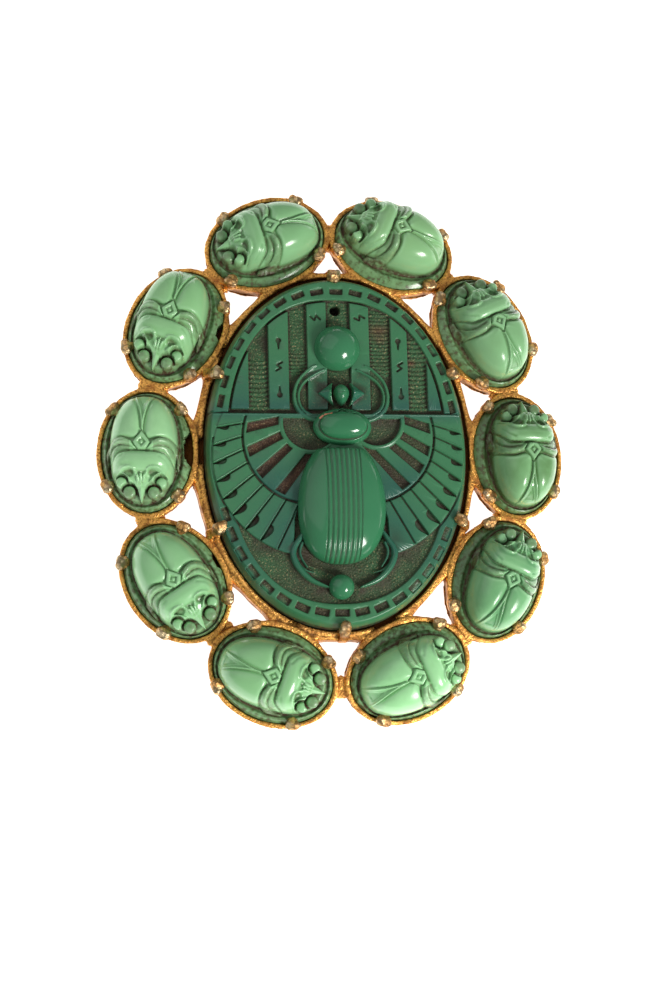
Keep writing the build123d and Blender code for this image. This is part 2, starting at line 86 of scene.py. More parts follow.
# One row a stone: how far its beetle stands from its middle along and across, its tone, its flange's stain
STONES = {
    "01": (-0.1, -0.3, "#75A773", 0.8),
    "02": (-0.15, -0.65, "#86BC80", 0.85),
    "03": (-0.2, -0.3, "#9ACE96", 0.95),
    "04": (0.25, -0.1, "#89C088", 0.85),
    "05": (-0.1, -0.1, "#80B67E", 0.85),
    "06": (0.05, -0.6, "#9AD69A", 1.0),
    "07": (0.0, -0.45, "#548E5E", 1.0),
    "08": (0.0, -0.5, "#4C733F", 1.0),
    "09": (0.0, -0.45, "#729F6F", 0.9),
    "10": (0.1, -0.8, "#80AD76", 0.8),
}

# A flange's chip: place round its oval in degrees, half spread in degrees, depth as a share
CHIPS = {"03": (93, 17, 0.19), "02": (104, 9, 0.1), "04": (84, 8, 0.06)}


def srgb(code):
    """An sRGB hex colour as linear red, green, blue and alpha."""
    parts = [int(code[i : i + 2], 16) / 255 for i in (1, 3, 5)]
    return tuple(c / 12.92 if c <= 0.04045 else ((c + 0.055) / 1.055) ** 2.4 for c in parts) + (1.0,)


def colour(name, text, code):
    """A colour setting with its default."""
    return FloatVectorProperty(
        name=name, description=text, default=srgb(code), subtype="COLOR", size=4, min=0, max=1
    )


def length(name, text, millimetres):
    """A length setting with its default."""
    return FloatProperty(name=name, description=text, default=millimetres * MM, unit="LENGTH", precision=5)


def whole(name, text, number):
    """A whole number setting with its default."""
    return IntProperty(name=name, description=text, default=number, min=1)


def strength(name, text, number):
    """A setting for the strength of a light, with its default."""
    return FloatProperty(name=name, description=text, default=number, min=0)


class PlaqueSettings(bpy.types.PropertyGroup):
    half_width: length("Half width", "Half the plaque's width", 16.05)
    half_height: length("Half height", "Half the plaque's height", 21.72)
    ground_depth: length("Ground depth", "How far the grounds lie under the face", 0.45)
    edge: length("Soft edge", "Width of the rounded edges of the pressed relief", 0.16)
    body_rise: length("Body rise", "Height of the ribbed body over the face", 3.0)
    disc_radius: length("Disc radius", "Radius of the raised disc", 2.9)
    disc_rise: length("Disc rise", "Height of the raised disc over the face", 2.3)
    ball_radius: length("Ball radius", "Radius of the small ball under the body", 1.53)
    columns: whole("Columns", "Columns of the plate's mesh before it is thinned", 460)
    rows: whole("Rows", "Rows of the plate's mesh before it is thinned", 620)
    triangles: whole("Triangles", "Most triangles of the plate", 195000)
    glass: colour("Glass", "Dark green opaque pressed glass", "#2E704B")
    glass_deep: colour("Deep glass", "The same glass where it turns blue", "#14504A")
    ground: colour("Ground", "Stippled grounds with olive patina", "#35502C")
    patina: colour("Patina", "Brown patina in the grooves", "#2E2215")
    red_patina: colour("Red patina", "Reddish brown patina in the wings' cells", "#4A2A1C")


class StoneSettings(bpy.types.PropertyGroup):
    half_length: length("Half length", "Half a stone's length", 7.33)
    half_width: length("Half width", "Half a stone's width", 5.46)
    flange: length("Flange", "Height of the flange over the cup's floor", 2.1)
    height: length("Height", "Height of a stone over the cup's floor", 6.6)
    cells: whole("Cells", "Cells along each side of a stone's mesh", 170)
    glass: colour("Glass", "Light green opaque moulded glass", "#7CB27C")
    # Lighter glass on the ridges, a painted highlight and wear at once
    glass_worn_and_lit: colour("Light glass", "The same glass where it is worn", "#98CA98")
    patina: colour("Patina", "Brown patina in the grooves", "#46301A")
    flange_stain: colour("Flange stain", "Olive stain on the flange", "#50633A")


class FrameSettings(bpy.types.PropertyGroup):
    voxel: length("Voxel", "Cell size that the cast frame is remeshed with", 0.14)
    triangles: whole("Triangles", "Most triangles of the cast frame", 190000)
    lumps: length("Lumps", "Height of the cast surface's unevenness", 0.07)
    gilding: colour("Gilding", "Bright gilding on rims and ridges", "#F8B860")
    gilding_dark: colour("Dark gilding", "Gilding darkened by age", "#9C5C22")
    soil: colour("Soil", "Dark brown soil in pits and recesses", "#1E1208")
    bare: colour("Bare metal", "Silver-grey metal on worn claw tips", "#D4C19C")


class StageSettings(bpy.types.PropertyGroup):
    floor_half: length("Floor", "Half the floor's side", 1500)
    floor: colour("Floor colour", "Plain white paper", "#FFFFFF")
    softbox: strength("Softbox", "Power of the softbox at the lower right, in watts", 0.85)
    fill: strength("Fill", "Power of the fill light at the upper left, in watts", 0.5)
    sky: strength("Surroundings", "Strength of the pale surroundings", 0.4)


class BroochSettings(bpy.types.PropertyGroup):
    plaque: PointerProperty(type=PlaqueSettings)
    stones: PointerProperty(type=StoneSettings)
    gilt: PointerProperty(type=FrameSettings)
    stage: PointerProperty(type=StageSettings)


# Fields over a plan, in millimetres: each is negative inside its shape

# A distance or a depth past every shape
FAR = 9.0


def inside(distance, soft):
    """1 inside a shape and 0 outside it, over a soft edge."""
    t = np.clip(0.5 - distance / soft, 0, 1)
    return t * t * (3 - 2 * t)


def oblong(x, y, middle, half_length, half_width, turn=0.0, corner=0.1):
    """Distance to an oblong with rounded corners."""
    along = (x - middle[0]) * cos(turn) + (y - middle[1]) * sin(turn)
    across = (y - middle[1]) * cos(turn) - (x - middle[0]) * sin(turn)
    u = np.abs(along) - half_length + corner
    v = np.abs(across) - half_width + corner
    return np.hypot(np.maximum(u, 0), np.maximum(v, 0)) + np.minimum(np.maximum(u, v), 0) - corner


def disc(x, y, middle, radius):
    """Distance to a disc."""
    return np.hypot(x - middle[0], y - middle[1]) - radius


def oval(x, y, half_x, half_y, power=2.0):
    """Distance to an oval round the middle, near its outline; a power above 2 squares its shoulders."""
    u = np.abs(x / half_x)
    v = np.abs(y / half_y)
    share = (u**power + v**power) ** (1 / power)
    slope = np.hypot(u ** (power - 1) / half_x, v ** (power - 1) / half_y)
    return (share - 1) * share ** (power - 1) / np.maximum(slope, 1e-6)


def round_plan(u, v):
    """The points of a square grid drawn in to a disc."""
    return u * np.sqrt(1 - v * v / 2), v * np.sqrt(1 - u * u / 2)


def smooth_line(points, steps=8):
    """Points of a smooth curve through some points."""
    p = np.array([points[0], *points, points[-1]], float)
    line = []
    for i in range(1, len(p) - 2):
        for t in np.linspace(0, 1, steps, endpoint=False):
            near = (p[i + 1] - p[i - 1]) * t
            bend = (2 * p[i - 1] - 5 * p[i] + 4 * p[i + 1] - p[i + 2]) * t**2
            rest = (3 * p[i] - p[i - 1] - 3 * p[i + 1] + p[i + 2]) * t**3
            line.append(p[i] + (near + bend + rest) / 2)
    line.append(p[-2])
    return np.array(line)


def stroke(x, y, points, reach=1.5):
    """Distance to a line of points, and the share of its length there; reach and 0 away from it."""
    points = np.asarray(points, float)
    low = points.min(0) - reach
    high = points.max(0) + reach
    near = (x > low[0]) & (x < high[0]) & (y > low[1]) & (y < high[1])
    distance = np.full(x.shape, reach)
    share = np.zeros(x.shape)
    px = x[near]
    py = y[near]
    best = np.full(px.shape, reach)
    where = np.zeros(px.shape)
    steps = np.linalg.norm(np.diff(points, axis=0), axis=1)
    walked = np.concatenate([[0], np.cumsum(steps)])
    for i, step in enumerate(steps):
        a = points[i]
        d = (points[i + 1] - a) / max(step, 1e-9)
        t = np.clip((px - a[0]) * d[0] + (py - a[1]) * d[1], 0, step)
        away = np.hypot(px - a[0] - t * d[0], py - a[1] - t * d[1])
        closer = away < best
        best[closer] = away[closer]
        where[closer] = (walked[i] + t[closer]) / walked[-1]
    distance[near] = best
    share[near] = where
    return distance, share


def rounded(distance, half_width, rise):
    """Height of a rounded ridge over its own foot; well below it away from the ridge."""
    share = distance / half_width
    return np.where(share < 1, rise * np.sqrt(np.clip(1 - share**2, 0, 1)), -FAR)


def blurred(field, cells):
    """A field on a grid, averaged over some cells each way."""
    for axis in (0, 1):
        for _ in range(2):
            pad = [(cells, cells) if a == axis else (0, 0) for a in (0, 1)]
            total = np.cumsum(np.pad(field, pad, mode="edge"), axis=axis)
            total = np.insert(total, 0, 0, axis=axis)
            size = field.shape[axis]
            high = np.take(total, range(2 * cells + 1, 2 * cells + 1 + size), axis=axis)
            low = np.take(total, range(size), axis=axis)
            field = (high - low) / (2 * cells + 1)
    return field


# Meshes


def grid_mesh(columns, rows):
    """A bmesh grid over a square from -1 to 1, and its points as arrays in rows."""
    bm = bmesh.new()
    bmesh.ops.create_grid(bm, x_segments=columns, y_segments=rows, size=1.0)
    flat = np.array([v.co for v in bm.verts])
    order = np.lexsort((flat[:, 0].round(6), flat[:, 1].round(6)))
    shape = (rows + 1, columns + 1)
    return bm, order, flat[order, 0].reshape(shape), flat[order, 1].reshape(shape)


def lay_grid(bm, order, x, y, z):
    """Move a grid's points to their places, given in millimetres."""
    verts = bm.verts[:]
    places = np.stack([x.ravel(), y.ravel(), z.ravel()], axis=1) * MM
    for i, place in zip(order.tolist(), places.tolist()):
        verts[i].co = place


def close_under(bm, height):
    """Extrude a sheet's edge straight down to a height, in millimetres, and close the bottom."""
    edge = [e for e in bm.edges if e.is_boundary]
    made = bmesh.ops.extrude_edge_only(bm, edges=edge)["geom"]
    for v in made:
        if isinstance(v, bmesh.types.BMVert):
            v.co.z = height * MM
    lower = [e for e in made if isinstance(e, bmesh.types.BMEdge) and e.is_boundary]
    bmesh.ops.contextual_create(bm, geom=lower)


def point_layer(bm, name, order, values):
    """Keep a number at each point of a grid, for the materials."""
    layer = bm.verts.layers.float.new(name)
    bm.verts.ensure_lookup_table()
    verts = bm.verts[:]
    for i, value in zip(order.tolist(), values.ravel().tolist()):
        verts[i][layer] = value


def piece(name, bm, material, nodes=()):
    """Make a bmesh into a finished piece that rides on the brooch."""
    bmesh.ops.recalc_face_normals(bm, faces=bm.faces)
    mesh = bpy.data.meshes.new(name)
    bm.to_mesh(mesh)
    bm.free()
    mesh.polygons.foreach_set("use_smooth", [True] * len(mesh.polygons))
    made = bpy.data.objects.new(name, mesh)
    bpy.context.scene.collection.objects.link(made)
    made.data.materials.append(material)
    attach(made, "root")
    if nodes:
        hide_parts(*nodes)
    return made


def apply_modifiers(made):
    """Keep an object's mesh as its modifiers leave it."""
    graph = bpy.context.evaluated_depsgraph_get()
    shaped = made.evaluated_get(graph)
    mesh = bpy.data.meshes.new_from_object(shaped, preserve_all_data_layers=True, depsgraph=graph)
    made.modifiers.clear()
    old = made.data
    made.data = mesh
    name = old.name
    bpy.data.meshes.remove(old)
    mesh.name = name
    mesh.polygons.foreach_set("use_smooth", [True] * len(mesh.polygons))


def thin(made, triangles):
    """Thin a mesh to a number of triangles, flat stretches first."""
    count = sum(len(p.vertices) - 2 for p in made.data.polygons)
    if count > triangles:
        decimate = made.modifiers.new("Thin", "DECIMATE")
        decimate.ratio = triangles / count
        apply_modifiers(made)


# Materials

# One row a kind of node: its type, its settings, the inputs that it is given in turn, and its output
NODE_KINDS = {
    "place": ("ShaderNodeTexCoord", {}, (), "Object"),
    "mapping": ("ShaderNodeMapping", {}, ("Vector", "Scale"), "Vector"),
    "mark": ("ShaderNodeAttribute", {}, (), "Fac"),
    "noise": ("ShaderNodeTexNoise", {}, ("Vector", "Scale", "Detail"), "Fac"),
    "cells": ("ShaderNodeTexVoronoi", {}, ("Vector", "Scale"), "Distance"),
    "range": ("ShaderNodeMapRange", {}, ("Value", "From Min", "From Max", "To Min", "To Max"), "Result"),
    "mix": ("ShaderNodeMix", {"data_type": "RGBA"}, (0, 6, 7), 2),
    "times": ("ShaderNodeMath", {"operation": "MULTIPLY", "use_clamp": True}, (0, 1), 0),
    "plus": ("ShaderNodeMath", {"operation": "ADD", "use_clamp": True}, (0, 1), 0),
    "minus": ("ShaderNodeMath", {"operation": "SUBTRACT", "use_clamp": True}, (0, 1), 0),
    "larger": ("ShaderNodeMath", {"operation": "MAXIMUM", "use_clamp": True}, (0, 1), 0),
    "bump": ("ShaderNodeBump", {}, ("Height", "Strength", "Distance", "Normal"), "Normal"),
}


def add(tree, kind, *values, **settings):
    """Add a node with its settings, link or set its inputs in turn, and give back its output."""
    node_type, usual, inputs, output = NODE_KINDS[kind]
    made = tree.nodes.new(node_type)
    for name, value in {**usual, **settings}.items():
        setattr(made, name, value)
    for name, value in zip(inputs, values):
        if isinstance(value, bpy.types.NodeSocket):
            tree.links.new(value, made.inputs[name])
        else:
            made.inputs[name].default_value = value
    return made.outputs[output]


def new_material(name, **constants):
    """A material with a Principled shader, its constant values and the object's coordinates."""
    material = bpy.data.materials.new(name)
    material.use_nodes = True
    tree = material.node_tree
    tree.nodes.clear()
    shader = tree.nodes.new("ShaderNodeBsdfPrincipled")
    for socket, value in constants.items():
        shader.inputs[socket].default_value = value
    output = tree.nodes.new("ShaderNodeOutputMaterial")
    tree.links.new(shader.outputs[0], output.inputs["Surface"])
    return material, tree, shader, add(tree, "place")


def pressed_glass(settings):
    """Opaque pressed glass: glossy where raised, with stippled grounds and old patina in its grooves."""
    material, tree, shader, place = new_material("pressed dark green glass", IOR=1.5)
    names = ("ground", "dirt", "red", "teal", "polish", "chip")
    marks = {name: add(tree, "mark", attribute_name=name) for name in names}
    # Stipple of the grounds, grains 0.22 mm apart
    grain = add(tree, "cells", place, 1 / (0.22 * MM))
    # Uneven patina, in patches 1.2 mm wide
    patch = add(tree, "noise", place, 1 / (1.2 * MM), 4.0)
    # Fine wear, 0.22 mm wide
    wear = add(tree, "noise", place, 1 / (0.22 * MM), 3.0)
    # Broad clouds in the glass, 6 mm wide
    cloud = add(tree, "noise", place, 1 / (6 * MM), 2.0)
    clouded = add(tree, "range", cloud, 0.3, 0.7, 0, 0.35)
    base = add(tree, "mix", clouded, tuple(settings.glass), srgb("#417E58"))
    base = add(tree, "mix", marks["teal"], base, tuple(settings.glass_deep))
    # Dust and wear dull the flat parts
    flat = add(tree, "range", marks["polish"], 0, 1, 0.13, 0)
    base = add(tree, "mix", add(tree, "times", wear, flat), base, srgb("#7C8C66"))
    # The grounds are olive and brown, with green glass showing through, red in the cells and pale specks
    grit = add(tree, "range", grain, 0.3, 0.75)
    soiled = add(tree, "mix", grit, tuple(settings.ground), tuple(settings.patina))
    green = add(tree, "range", patch, 0.35, 0.65, 0.35, 0.85)
    soiled = add(tree, "mix", green, soiled, srgb("#2E5E38"))
    reddish = add(tree, "mix", grit, srgb("#6B4A30"), tuple(settings.red_patina))
    floor = add(tree, "mix", marks["red"], soiled, reddish)
    speck = add(tree, "range", wear, 0.58, 0.7, 0, 0.8)
    floor = add(tree, "mix", speck, floor, srgb("#A89A70"))
    body = add(tree, "mix", marks["ground"], base, floor)
    dirt = add(tree, "times", marks["dirt"], add(tree, "range", patch, 0.3, 0.6, 0.55, 1.0))
    body = add(tree, "mix", dirt, body, tuple(settings.patina))
    body = add(tree, "mix", marks["chip"], body, srgb("#DE9070"))
    tree.links.new(body, shader.inputs["Base Color"])
    rough = add(tree, "range", marks["polish"], 0, 1, 0.34, 0.14)
    rough = add(tree, "larger", rough, add(tree, "times", marks["ground"], 0.72))
    rough = add(tree, "larger", rough, add(tree, "times", dirt, 0.7))
    tree.links.new(rough, shader.inputs["Roughness"])
    stipple = add(tree, "bump", add(tree, "times", grain, marks["ground"]), 0.9, 0.12 * MM)
    fine = add(tree, "bump", wear, 0.12, 0.02 * MM, stipple)
    tree.links.new(fine, shader.inputs["Normal"])
    return material


def moulded_glass(settings, name, tone, stain):
    """Opaque moulded glass: glossy, lighter on its ridges as a painted highlight and as wear, brown in its
    grooves and on its flange.
    """
    material, tree, shader, place = new_material(name, IOR=1.5)
    marks = {mark: add(tree, "mark", attribute_name=mark) for mark in ("dirt", "ridge", "flange")}
    # Clouds in the glass, 3 mm wide
    cloud = add(tree, "noise", place, 1 / (3 * MM), 3.0)
    # Patina in patches 0.5 mm wide
    patch = add(tree, "noise", place, 1 / (0.5 * MM), 4.0)
    base = add(tree, "mix", add(tree, "range", cloud, 0.3, 0.7, 0.4, 1.0), tuple(settings.glass), tone)
    # Painted highlight on the ridges, standing also for wear there
    worn = add(tree, "range", marks["ridge"], 0, 1, 0, 0.5)
    base = add(tree, "mix", worn, base, tuple(settings.glass_worn_and_lit))
    spread = add(tree, "range", patch, 0.35, 0.62, stain * 0.45, stain)
    spread = add(tree, "times", marks["flange"], spread)
    base = add(tree, "mix", spread, base, tuple(settings.flange_stain))
    dirt = add(tree, "times", marks["dirt"], add(tree, "range", patch, 0.3, 0.55, 0.45, 1.0))
    # Specks of soil left on the flange
    specks = add(tree, "times", marks["flange"], add(tree, "range", patch, 0.56, 0.66, 0, 0.7))
    dirt = add(tree, "larger", dirt, specks)
    base = add(tree, "mix", dirt, base, tuple(settings.patina))
    tree.links.new(base, shader.inputs["Base Color"])
    rough = add(tree, "range", cloud, 0.3, 0.7, 0.17, 0.27)
    rough = add(tree, "larger", rough, add(tree, "times", dirt, 0.7))
    tree.links.new(rough, shader.inputs["Roughness"])
    tree.links.new(add(tree, "bump", patch, 0.1, 0.05 * MM), shader.inputs["Normal"])
    return material


def gilt_brass(settings):
    """Cast brass with worn gilding: a painted highlight on its standing-out edges, brown pits, painted shade
    deep in its cups and ring and in its creases, bare claw tips.
    """
    material, tree, shader, place = new_material("worn gilt brass")
    marks = {mark: add(tree, "mark", attribute_name=mark) for mark in ("recess_shade", "bare", "edge", "crease")}
    # Casting pits 0.45 mm apart
    pits = add(tree, "cells", place, 1 / (0.45 * MM))
    # Tarnish in patches 1.5 mm wide
    patch = add(tree, "noise", place, 1 / (1.5 * MM), 5.0)
    # File marks and grain, coarser than the real ones so that they show, 0.24 mm wide
    grain = add(tree, "noise", place, 1 / (0.24 * MM), 5.0)
    # Hammer and cutter marks on the claws, 0.55 mm across
    facets = add(tree, "cells", place, 1 / (0.55 * MM))
    tarnish = add(tree, "range", patch, 0.48, 0.7, 0.0, 0.9)
    base = add(tree, "mix", tarnish, tuple(settings.gilding), tuple(settings.gilding_dark))
    worn = add(tree, "range", grain, 0.5, 0.6, 0, 0.8)
    base = add(tree, "mix", worn, base, tuple(settings.gilding_dark))
    deep = add(tree, "range", pits, 0.22, 0.08)
    pitted = add(tree, "times", deep, add(tree, "range", patch, 0.48, 0.6, 0, 0.75))
    base = add(tree, "mix", pitted, base, tuple(settings.soil))
    # Painted shade, dark brown, in the creases of the cast surface
    base = add(tree, "mix", marks["crease"], base, srgb("#4A2A10"))
    # A painted highlight, pale gold, along the edges that stand out, standing also for gilding worn pale
    # there
    highlight_and_wear = add(tree, "times", marks["edge"], add(tree, "range", grain, 0.42, 0.56, 0.9, 0.1))
    base = add(tree, "mix", highlight_and_wear, base, srgb("#FFC470"))
    silver = add(tree, "times", marks["bare"], add(tree, "range", patch, 0.4, 0.6, 0.95, 0.15))
    base = add(tree, "mix", silver, base, tuple(settings.bare))
    # Painted shade, brown, deep in the cups, inside the ring and down the outer walls
    base = add(tree, "mix", marks["recess_shade"], base, srgb("#74461C"))
    seam = add(tree, "times", marks["bare"], add(tree, "range", facets, 0.42, 0.62, 0, 0.6))
    base = add(tree, "mix", seam, base, srgb("#4A3420"))
    tree.links.new(base, shader.inputs["Base Color"])
    rough = add(tree, "range", patch, 0.35, 0.65, 0.3, 0.5)
    rough = add(tree, "larger", rough, add(tree, "times", marks["recess_shade"], 0.75))
    tree.links.new(rough, shader.inputs["Roughness"])
    dull = add(tree, "times", add(tree, "larger", tarnish, worn), 0.55)
    tree.links.new(add(tree, "minus", 1.0, dull), shader.inputs["Metallic"])
    height = add(tree, "minus", grain, add(tree, "times", pitted, 0.5))
    dents = add(tree, "times", add(tree, "times", facets, marks["bare"]), 0.9)
    bump = add(tree, "bump", add(tree, "plus", height, dents), 1.0, 0.14 * MM)
    tree.links.new(bump, shader.inputs["Normal"])
    return material


def pin_brass():
    """Drawn and rolled brass, satin from handling, with fine lines along the bar."""
    material, tree, shader, place = new_material("satin rolled brass", Metallic=1.0)
    stretched = add(tree, "mapping", place, (0.05, 1.0, 1.0))
    # Rolling lines 0.1 mm apart
    lines = add(tree, "noise", stretched, 1 / (0.1 * MM), 2.0)
    tone = add(tree, "mix", add(tree, "range", lines, 0.3, 0.7), srgb("#B8924A"), srgb("#8A6A30"))
    tree.links.new(tone, shader.inputs["Base Color"])
    tree.links.new(add(tree, "range", lines, 0.3, 0.7, 0.3, 0.42), shader.inputs["Roughness"])
    tree.links.new(add(tree, "bump", lines, 0.2, 0.02 * MM), shader.inputs["Normal"])
    return material


# The plaque's plate, in millimetres

# The line of the wings' shoulders
SHOULDER_Y = 4.5
# The border's oval, and its cells' first angle, last angle and number above and below the wings
BORDER = (14.5, 19.8, 2.3)
CELLS_ABOVE = (15.5, 163.0, 19)
CELLS_BELOW = (-157.0, -30.3, 16)
# The bars' left and right sides
BARS = ((-13.6, -10.7), (-8.25, -5.77), (-3.48, -1.06), (1.85, 4.2), (6.83, 8.9), (11.25, 13.9))

# One row a wing, x counted outward: the circles of its band, its edge and its hollow, the feathers' first
# angle and step on the band and on the edge, and the middles and slopes of its cells
WINGS = {
    -1: {
        "band": (3.41, 1.46, 8.15),
        "edge": (3.02, -0.97, 12.13),
        "hollow": (3.27, 3.3, 3.56),
        "inner": (12.4, -11.5),
        "outer": (17.3, -10.6),
        "cells": ((8.95, 3.12, -13.2), (8.68, 0.8, -27.2), (7.75, -1.34, -42.7), (5.14, -2.75, -51.3)),
    },
    1: {
        "band": (3.49, 1.76, 8.34),
        "edge": (2.7, -0.58, 12.77),
        "hollow": (4.79, 3.49, 3.15),
        "inner": (9.7, -10.2),
        "outer": (11.9, -8.96),
        "cells": ((9.72, 3.22, -19.0), (9.56, 0.78, -31.0), (8.56, -1.05, -39.6), (6.3, -2.5, -47.0)),
    },
}

# The figure stands on its own axis, a little to the right of the plaque's middle
AXIS = 0.55
HIND_AXIS = 0.38
HIND_LEG = (
    (4.7, -10.0), (5.3, -10.9), (5.95, -11.9), (6.12, -12.9),
    (5.6, -14.2), (4.6, -15.4), (3.5, -16.15), (1.9, -16.8),
)
HIND_SPUR = ((5.75, -13.5), (5.3, -14.15), (4.5, -14.75), (3.5, -15.0))
HIND_RIDGE = ((5.0, -11.4), (5.3, -12.3), (5.15, -13.2), (4.5, -14.3))
FRONT_LEG = (
    (3.0, 10.4), (3.85, 9.95), (5.2, 8.5), (5.72, 6.9),
    (5.55, 5.45), (4.9, 4.45), (4.0, 3.85), (3.3, 3.6),
)
FRONT_LEG_INNER = (
    (2.0, 9.9), (2.7, 9.55), (3.8, 8.9), (4.65, 8.1),
    (5.17, 7.05), (5.17, 5.8), (4.67, 4.8), (3.85, 4.3),
)
# Rusty spots on the grounds: place, reach and strength
RUST = (
    (5.5, 15.0, 1.3, 0.75),
    (5.6, 13.9, 0.9, 0.5),
    (9.3, 10.9, 0.6, 1.0),
    (14.5, -5.1, 0.3, 1.0),
    (10.8, -2.0, 0.3, 1.0),
)
# The grounds whose ribs are plain: left, right, low and high
RIBBED_GROUNDS = (
    (-10.75, -8.2, 4.9, 11.0),
    (8.85, 11.3, 4.9, 14.0),
    (-5.8, -3.45, 9.4, 12.0),
    (4.15, 6.85, 9.4, 17.3),
)
# A zigzag round its own middle, and the zigzags' and drops' places on the bars with their turns and ways
ZIGZAG = ((-0.62, 0.3), (-0.2, -0.22), (0.12, 0.3), (0.5, -0.28))
ZIGZAGS = ((-2.35, 16.4, 0.2), (3.1, 16.5, 0.5), (-6.95, 10.3, 1.45), (7.9, 10.4, 1.5))
DROPS = ((-7.0, 13.5, -1), (7.75, 13.6, -1), (-6.95, 6.7, 1), (7.95, 6.6, 1))
FEATHERS = 9
HOLE = (0.1, 17.5)
HOLE_RADIUS = 0.6


def even_angles(first, last, count):
    """Angles round the border's oval, in radians, at even distances along it."""
    angles = np.linspace(radians(first), radians(last), 2000)
    steps = np.hypot(np.diff(BORDER[0] * np.cos(angles)), np.diff(BORDER[1] * np.sin(angles)))
    walked = np.concatenate([[0], np.cumsum(steps)])
    return np.interp(np.linspace(0, walked[-1], count), walked, angles)


def border_cells(x, y):
    """Distance to the oblong cells of the border, which stand on an oval with squared shoulders."""
    nearest = np.full(x.shape, FAR)
    half_x, half_y, power = BORDER
    for at in np.concatenate([even_angles(*CELLS_ABOVE), even_angles(*CELLS_BELOW)]):
        out = Vector((cos(at) / half_x, sin(at) / half_y)).normalized()
        spread = (abs(cos(at)) ** power + abs(sin(at)) ** power) ** (-1 / power)
        middle = Vector((half_x * cos(at), half_y * sin(at))) * spread
        near = np.hypot(x - middle[0], y - middle[1]) < 2.0
        size = (0.86, 0.44) if sin(at) < 0 else (0.8, 0.36)
        cell = oblong(x[near], y[near], middle, *size, atan2(out[0], -out[1]), 0.12)
        nearest[near] = np.minimum(nearest[near], cell)
    return nearest


def wing_marks(side, y, wing):
    """Distances to a wing's cells, its grooves and their lips, and its notches, for x counted outward."""
    band = wing["band"]
    edge = wing["edge"]
    cells, grooves, lips, notches = (np.full(side.shape, FAR) for _ in range(4))
    for cx, cy, slope in wing["cells"]:
        turn = radians(slope)
        along = (side - cx) * cos(turn) + (y - cy) * sin(turn)
        across = (y - cy) * cos(turn) - (side - cx) * sin(turn)
        cells = np.minimum(cells, np.abs(across) - 0.53 - 0.03 * along)
    cells = np.maximum(cells, disc(side, y, band[:2], band[2] - 0.45))
    hollow = wing["hollow"]
    cells = np.maximum(cells, -disc(side, y, hollow[:2], hollow[2] + 0.35))
    for i in range(FEATHERS):
        inner_at = radians(wing["inner"][0] + wing["inner"][1] * i)
        outer_at = radians(wing["outer"][0] + wing["outer"][1] * i)
        inner = np.array((band[0] + band[2] * cos(inner_at), band[1] + band[2] * sin(inner_at)))
        outer = np.array((edge[0] + edge[2] * cos(outer_at), edge[1] + edge[2] * sin(outer_at)))
        run = inner - outer
        reach = np.hypot(*run)
        run = run / reach
        upward = np.array((run[1], -run[0])) * (1 if run[0] < 0 else -1)
        along = (side - outer[0]) * run[0] + (y - outer[1]) * run[1]
        over = (side - outer[0]) * upward[0] + (y - outer[1]) * upward[1]
        ends = np.maximum(-along - 0.1, along - reach)
        grooves = np.minimum(grooves, np.maximum(np.abs(over + 0.05) - 0.09, ends))
        lips = np.minimum(lips, np.maximum(np.abs(over - 0.13) - 0.07, ends))
        if i < FEATHERS - 1:
            # A drop that hangs from the groove, pointed at the wing's edge
            long = 1.45 + 0.13 * i
            deep = 0.62 + 0.045 * i
            t = np.clip(along / long, 0, 1)
            width = deep * 1.302 * t**0.85 * np.clip(1 - t**2.6, 0, 1) ** 0.5
            drop = np.maximum(np.maximum(over, -over - width), np.maximum(-along, along - long))
            notches = np.minimum(notches, drop)
    return cells, grooves, lips, notches


def ground_ribs(x, y):
    """Heights of the ribs across the grounds between the bars, plain in some and worn away in others."""
    strong = 0.3 * inside(oblong(x, y, (-0.4, 14.3), 5.5, 4.6), 0.5)
    for left, right, low, high in RIBBED_GROUNDS:
        middle = ((left + right) / 2, (low + high) / 2)
        strip = oblong(x, y, middle, (right - left) / 2, (high - low) / 2)
        strong = np.maximum(strong, inside(strip, 0.5))
    pitch = np.where(np.abs(x - 0.4) < 6.3, 0.47, 0.57)
    return 0.15 * strong * (0.5 + 0.5 * np.cos(2 * pi * y / pitch)) ** 0.7


def ornament(x, y):
    """Distance to the plain zigzags and drops that are cut into the bars."""
    nearest = np.full(x.shape, FAR)
    for cx, cy, turn in ZIGZAGS:
        spin = Matrix.Rotation(turn, 2)
        line = [Vector((cx, cy)) + spin @ Vector(point) for point in ZIGZAG]
        nearest = np.minimum(nearest, stroke(x, y, line)[0] - 0.11)
    for cx, cy, way in DROPS:
        line = ((cx, cy), (cx, cy + way * 1.05))
        away, share = stroke(x, y, line)
        drop = np.minimum(disc(x, y, (cx, cy), 0.33), away - 0.2 + 0.14 * share)
        nearest = np.minimum(nearest, drop)
    return nearest


def legs(x, y, ground):
    """Heights of the hind legs with their spurs and of the front legs, each a band between two ridges."""
    height = np.full(x.shape, -FAR)
    side = np.abs(x - HIND_AXIS)
    leg, share = stroke(side, y, smooth_line(HIND_LEG))
    width = 0.1 + 0.3 * np.sin(pi * np.clip(share * 0.9 + 0.1, 0, 1)) ** 0.7
    height = np.maximum(height, rounded(leg, width, 0.5) - 0.15)
    ridge, share = stroke(side, y, smooth_line(HIND_RIDGE))
    height = np.maximum(height, rounded(ridge, 0.2 - 0.1 * share, 0.3) - 0.22)
    filling = np.maximum(leg - 0.75, ridge - 0.5)
    height = np.maximum(height, np.where((filling < 0) & (y > -13.4), -ground + 0.2, -FAR))
    spur, share = stroke(side, y, smooth_line(HIND_SPUR))
    height = np.maximum(height, rounded(spur, 0.2 * (1 - share) + 0.05, 0.3) - 0.35)
    side = np.abs(x - AXIS)
    outer, share = stroke(side, y, smooth_line(FRONT_LEG))
    inner = stroke(side, y, smooth_line(FRONT_LEG_INNER))[0]
    between_ridges = (outer < 0.7) & (inner < 0.75)
    height = np.maximum(height, np.where(between_ridges, -0.22 + 0.1 * share, -FAR))
    height = np.maximum(height, rounded(outer, 0.15 + 0.1 * share, 0.25) - 0.1)
    height = np.maximum(height, rounded(inner, 0.15, 0.25) - 0.12)
    return height


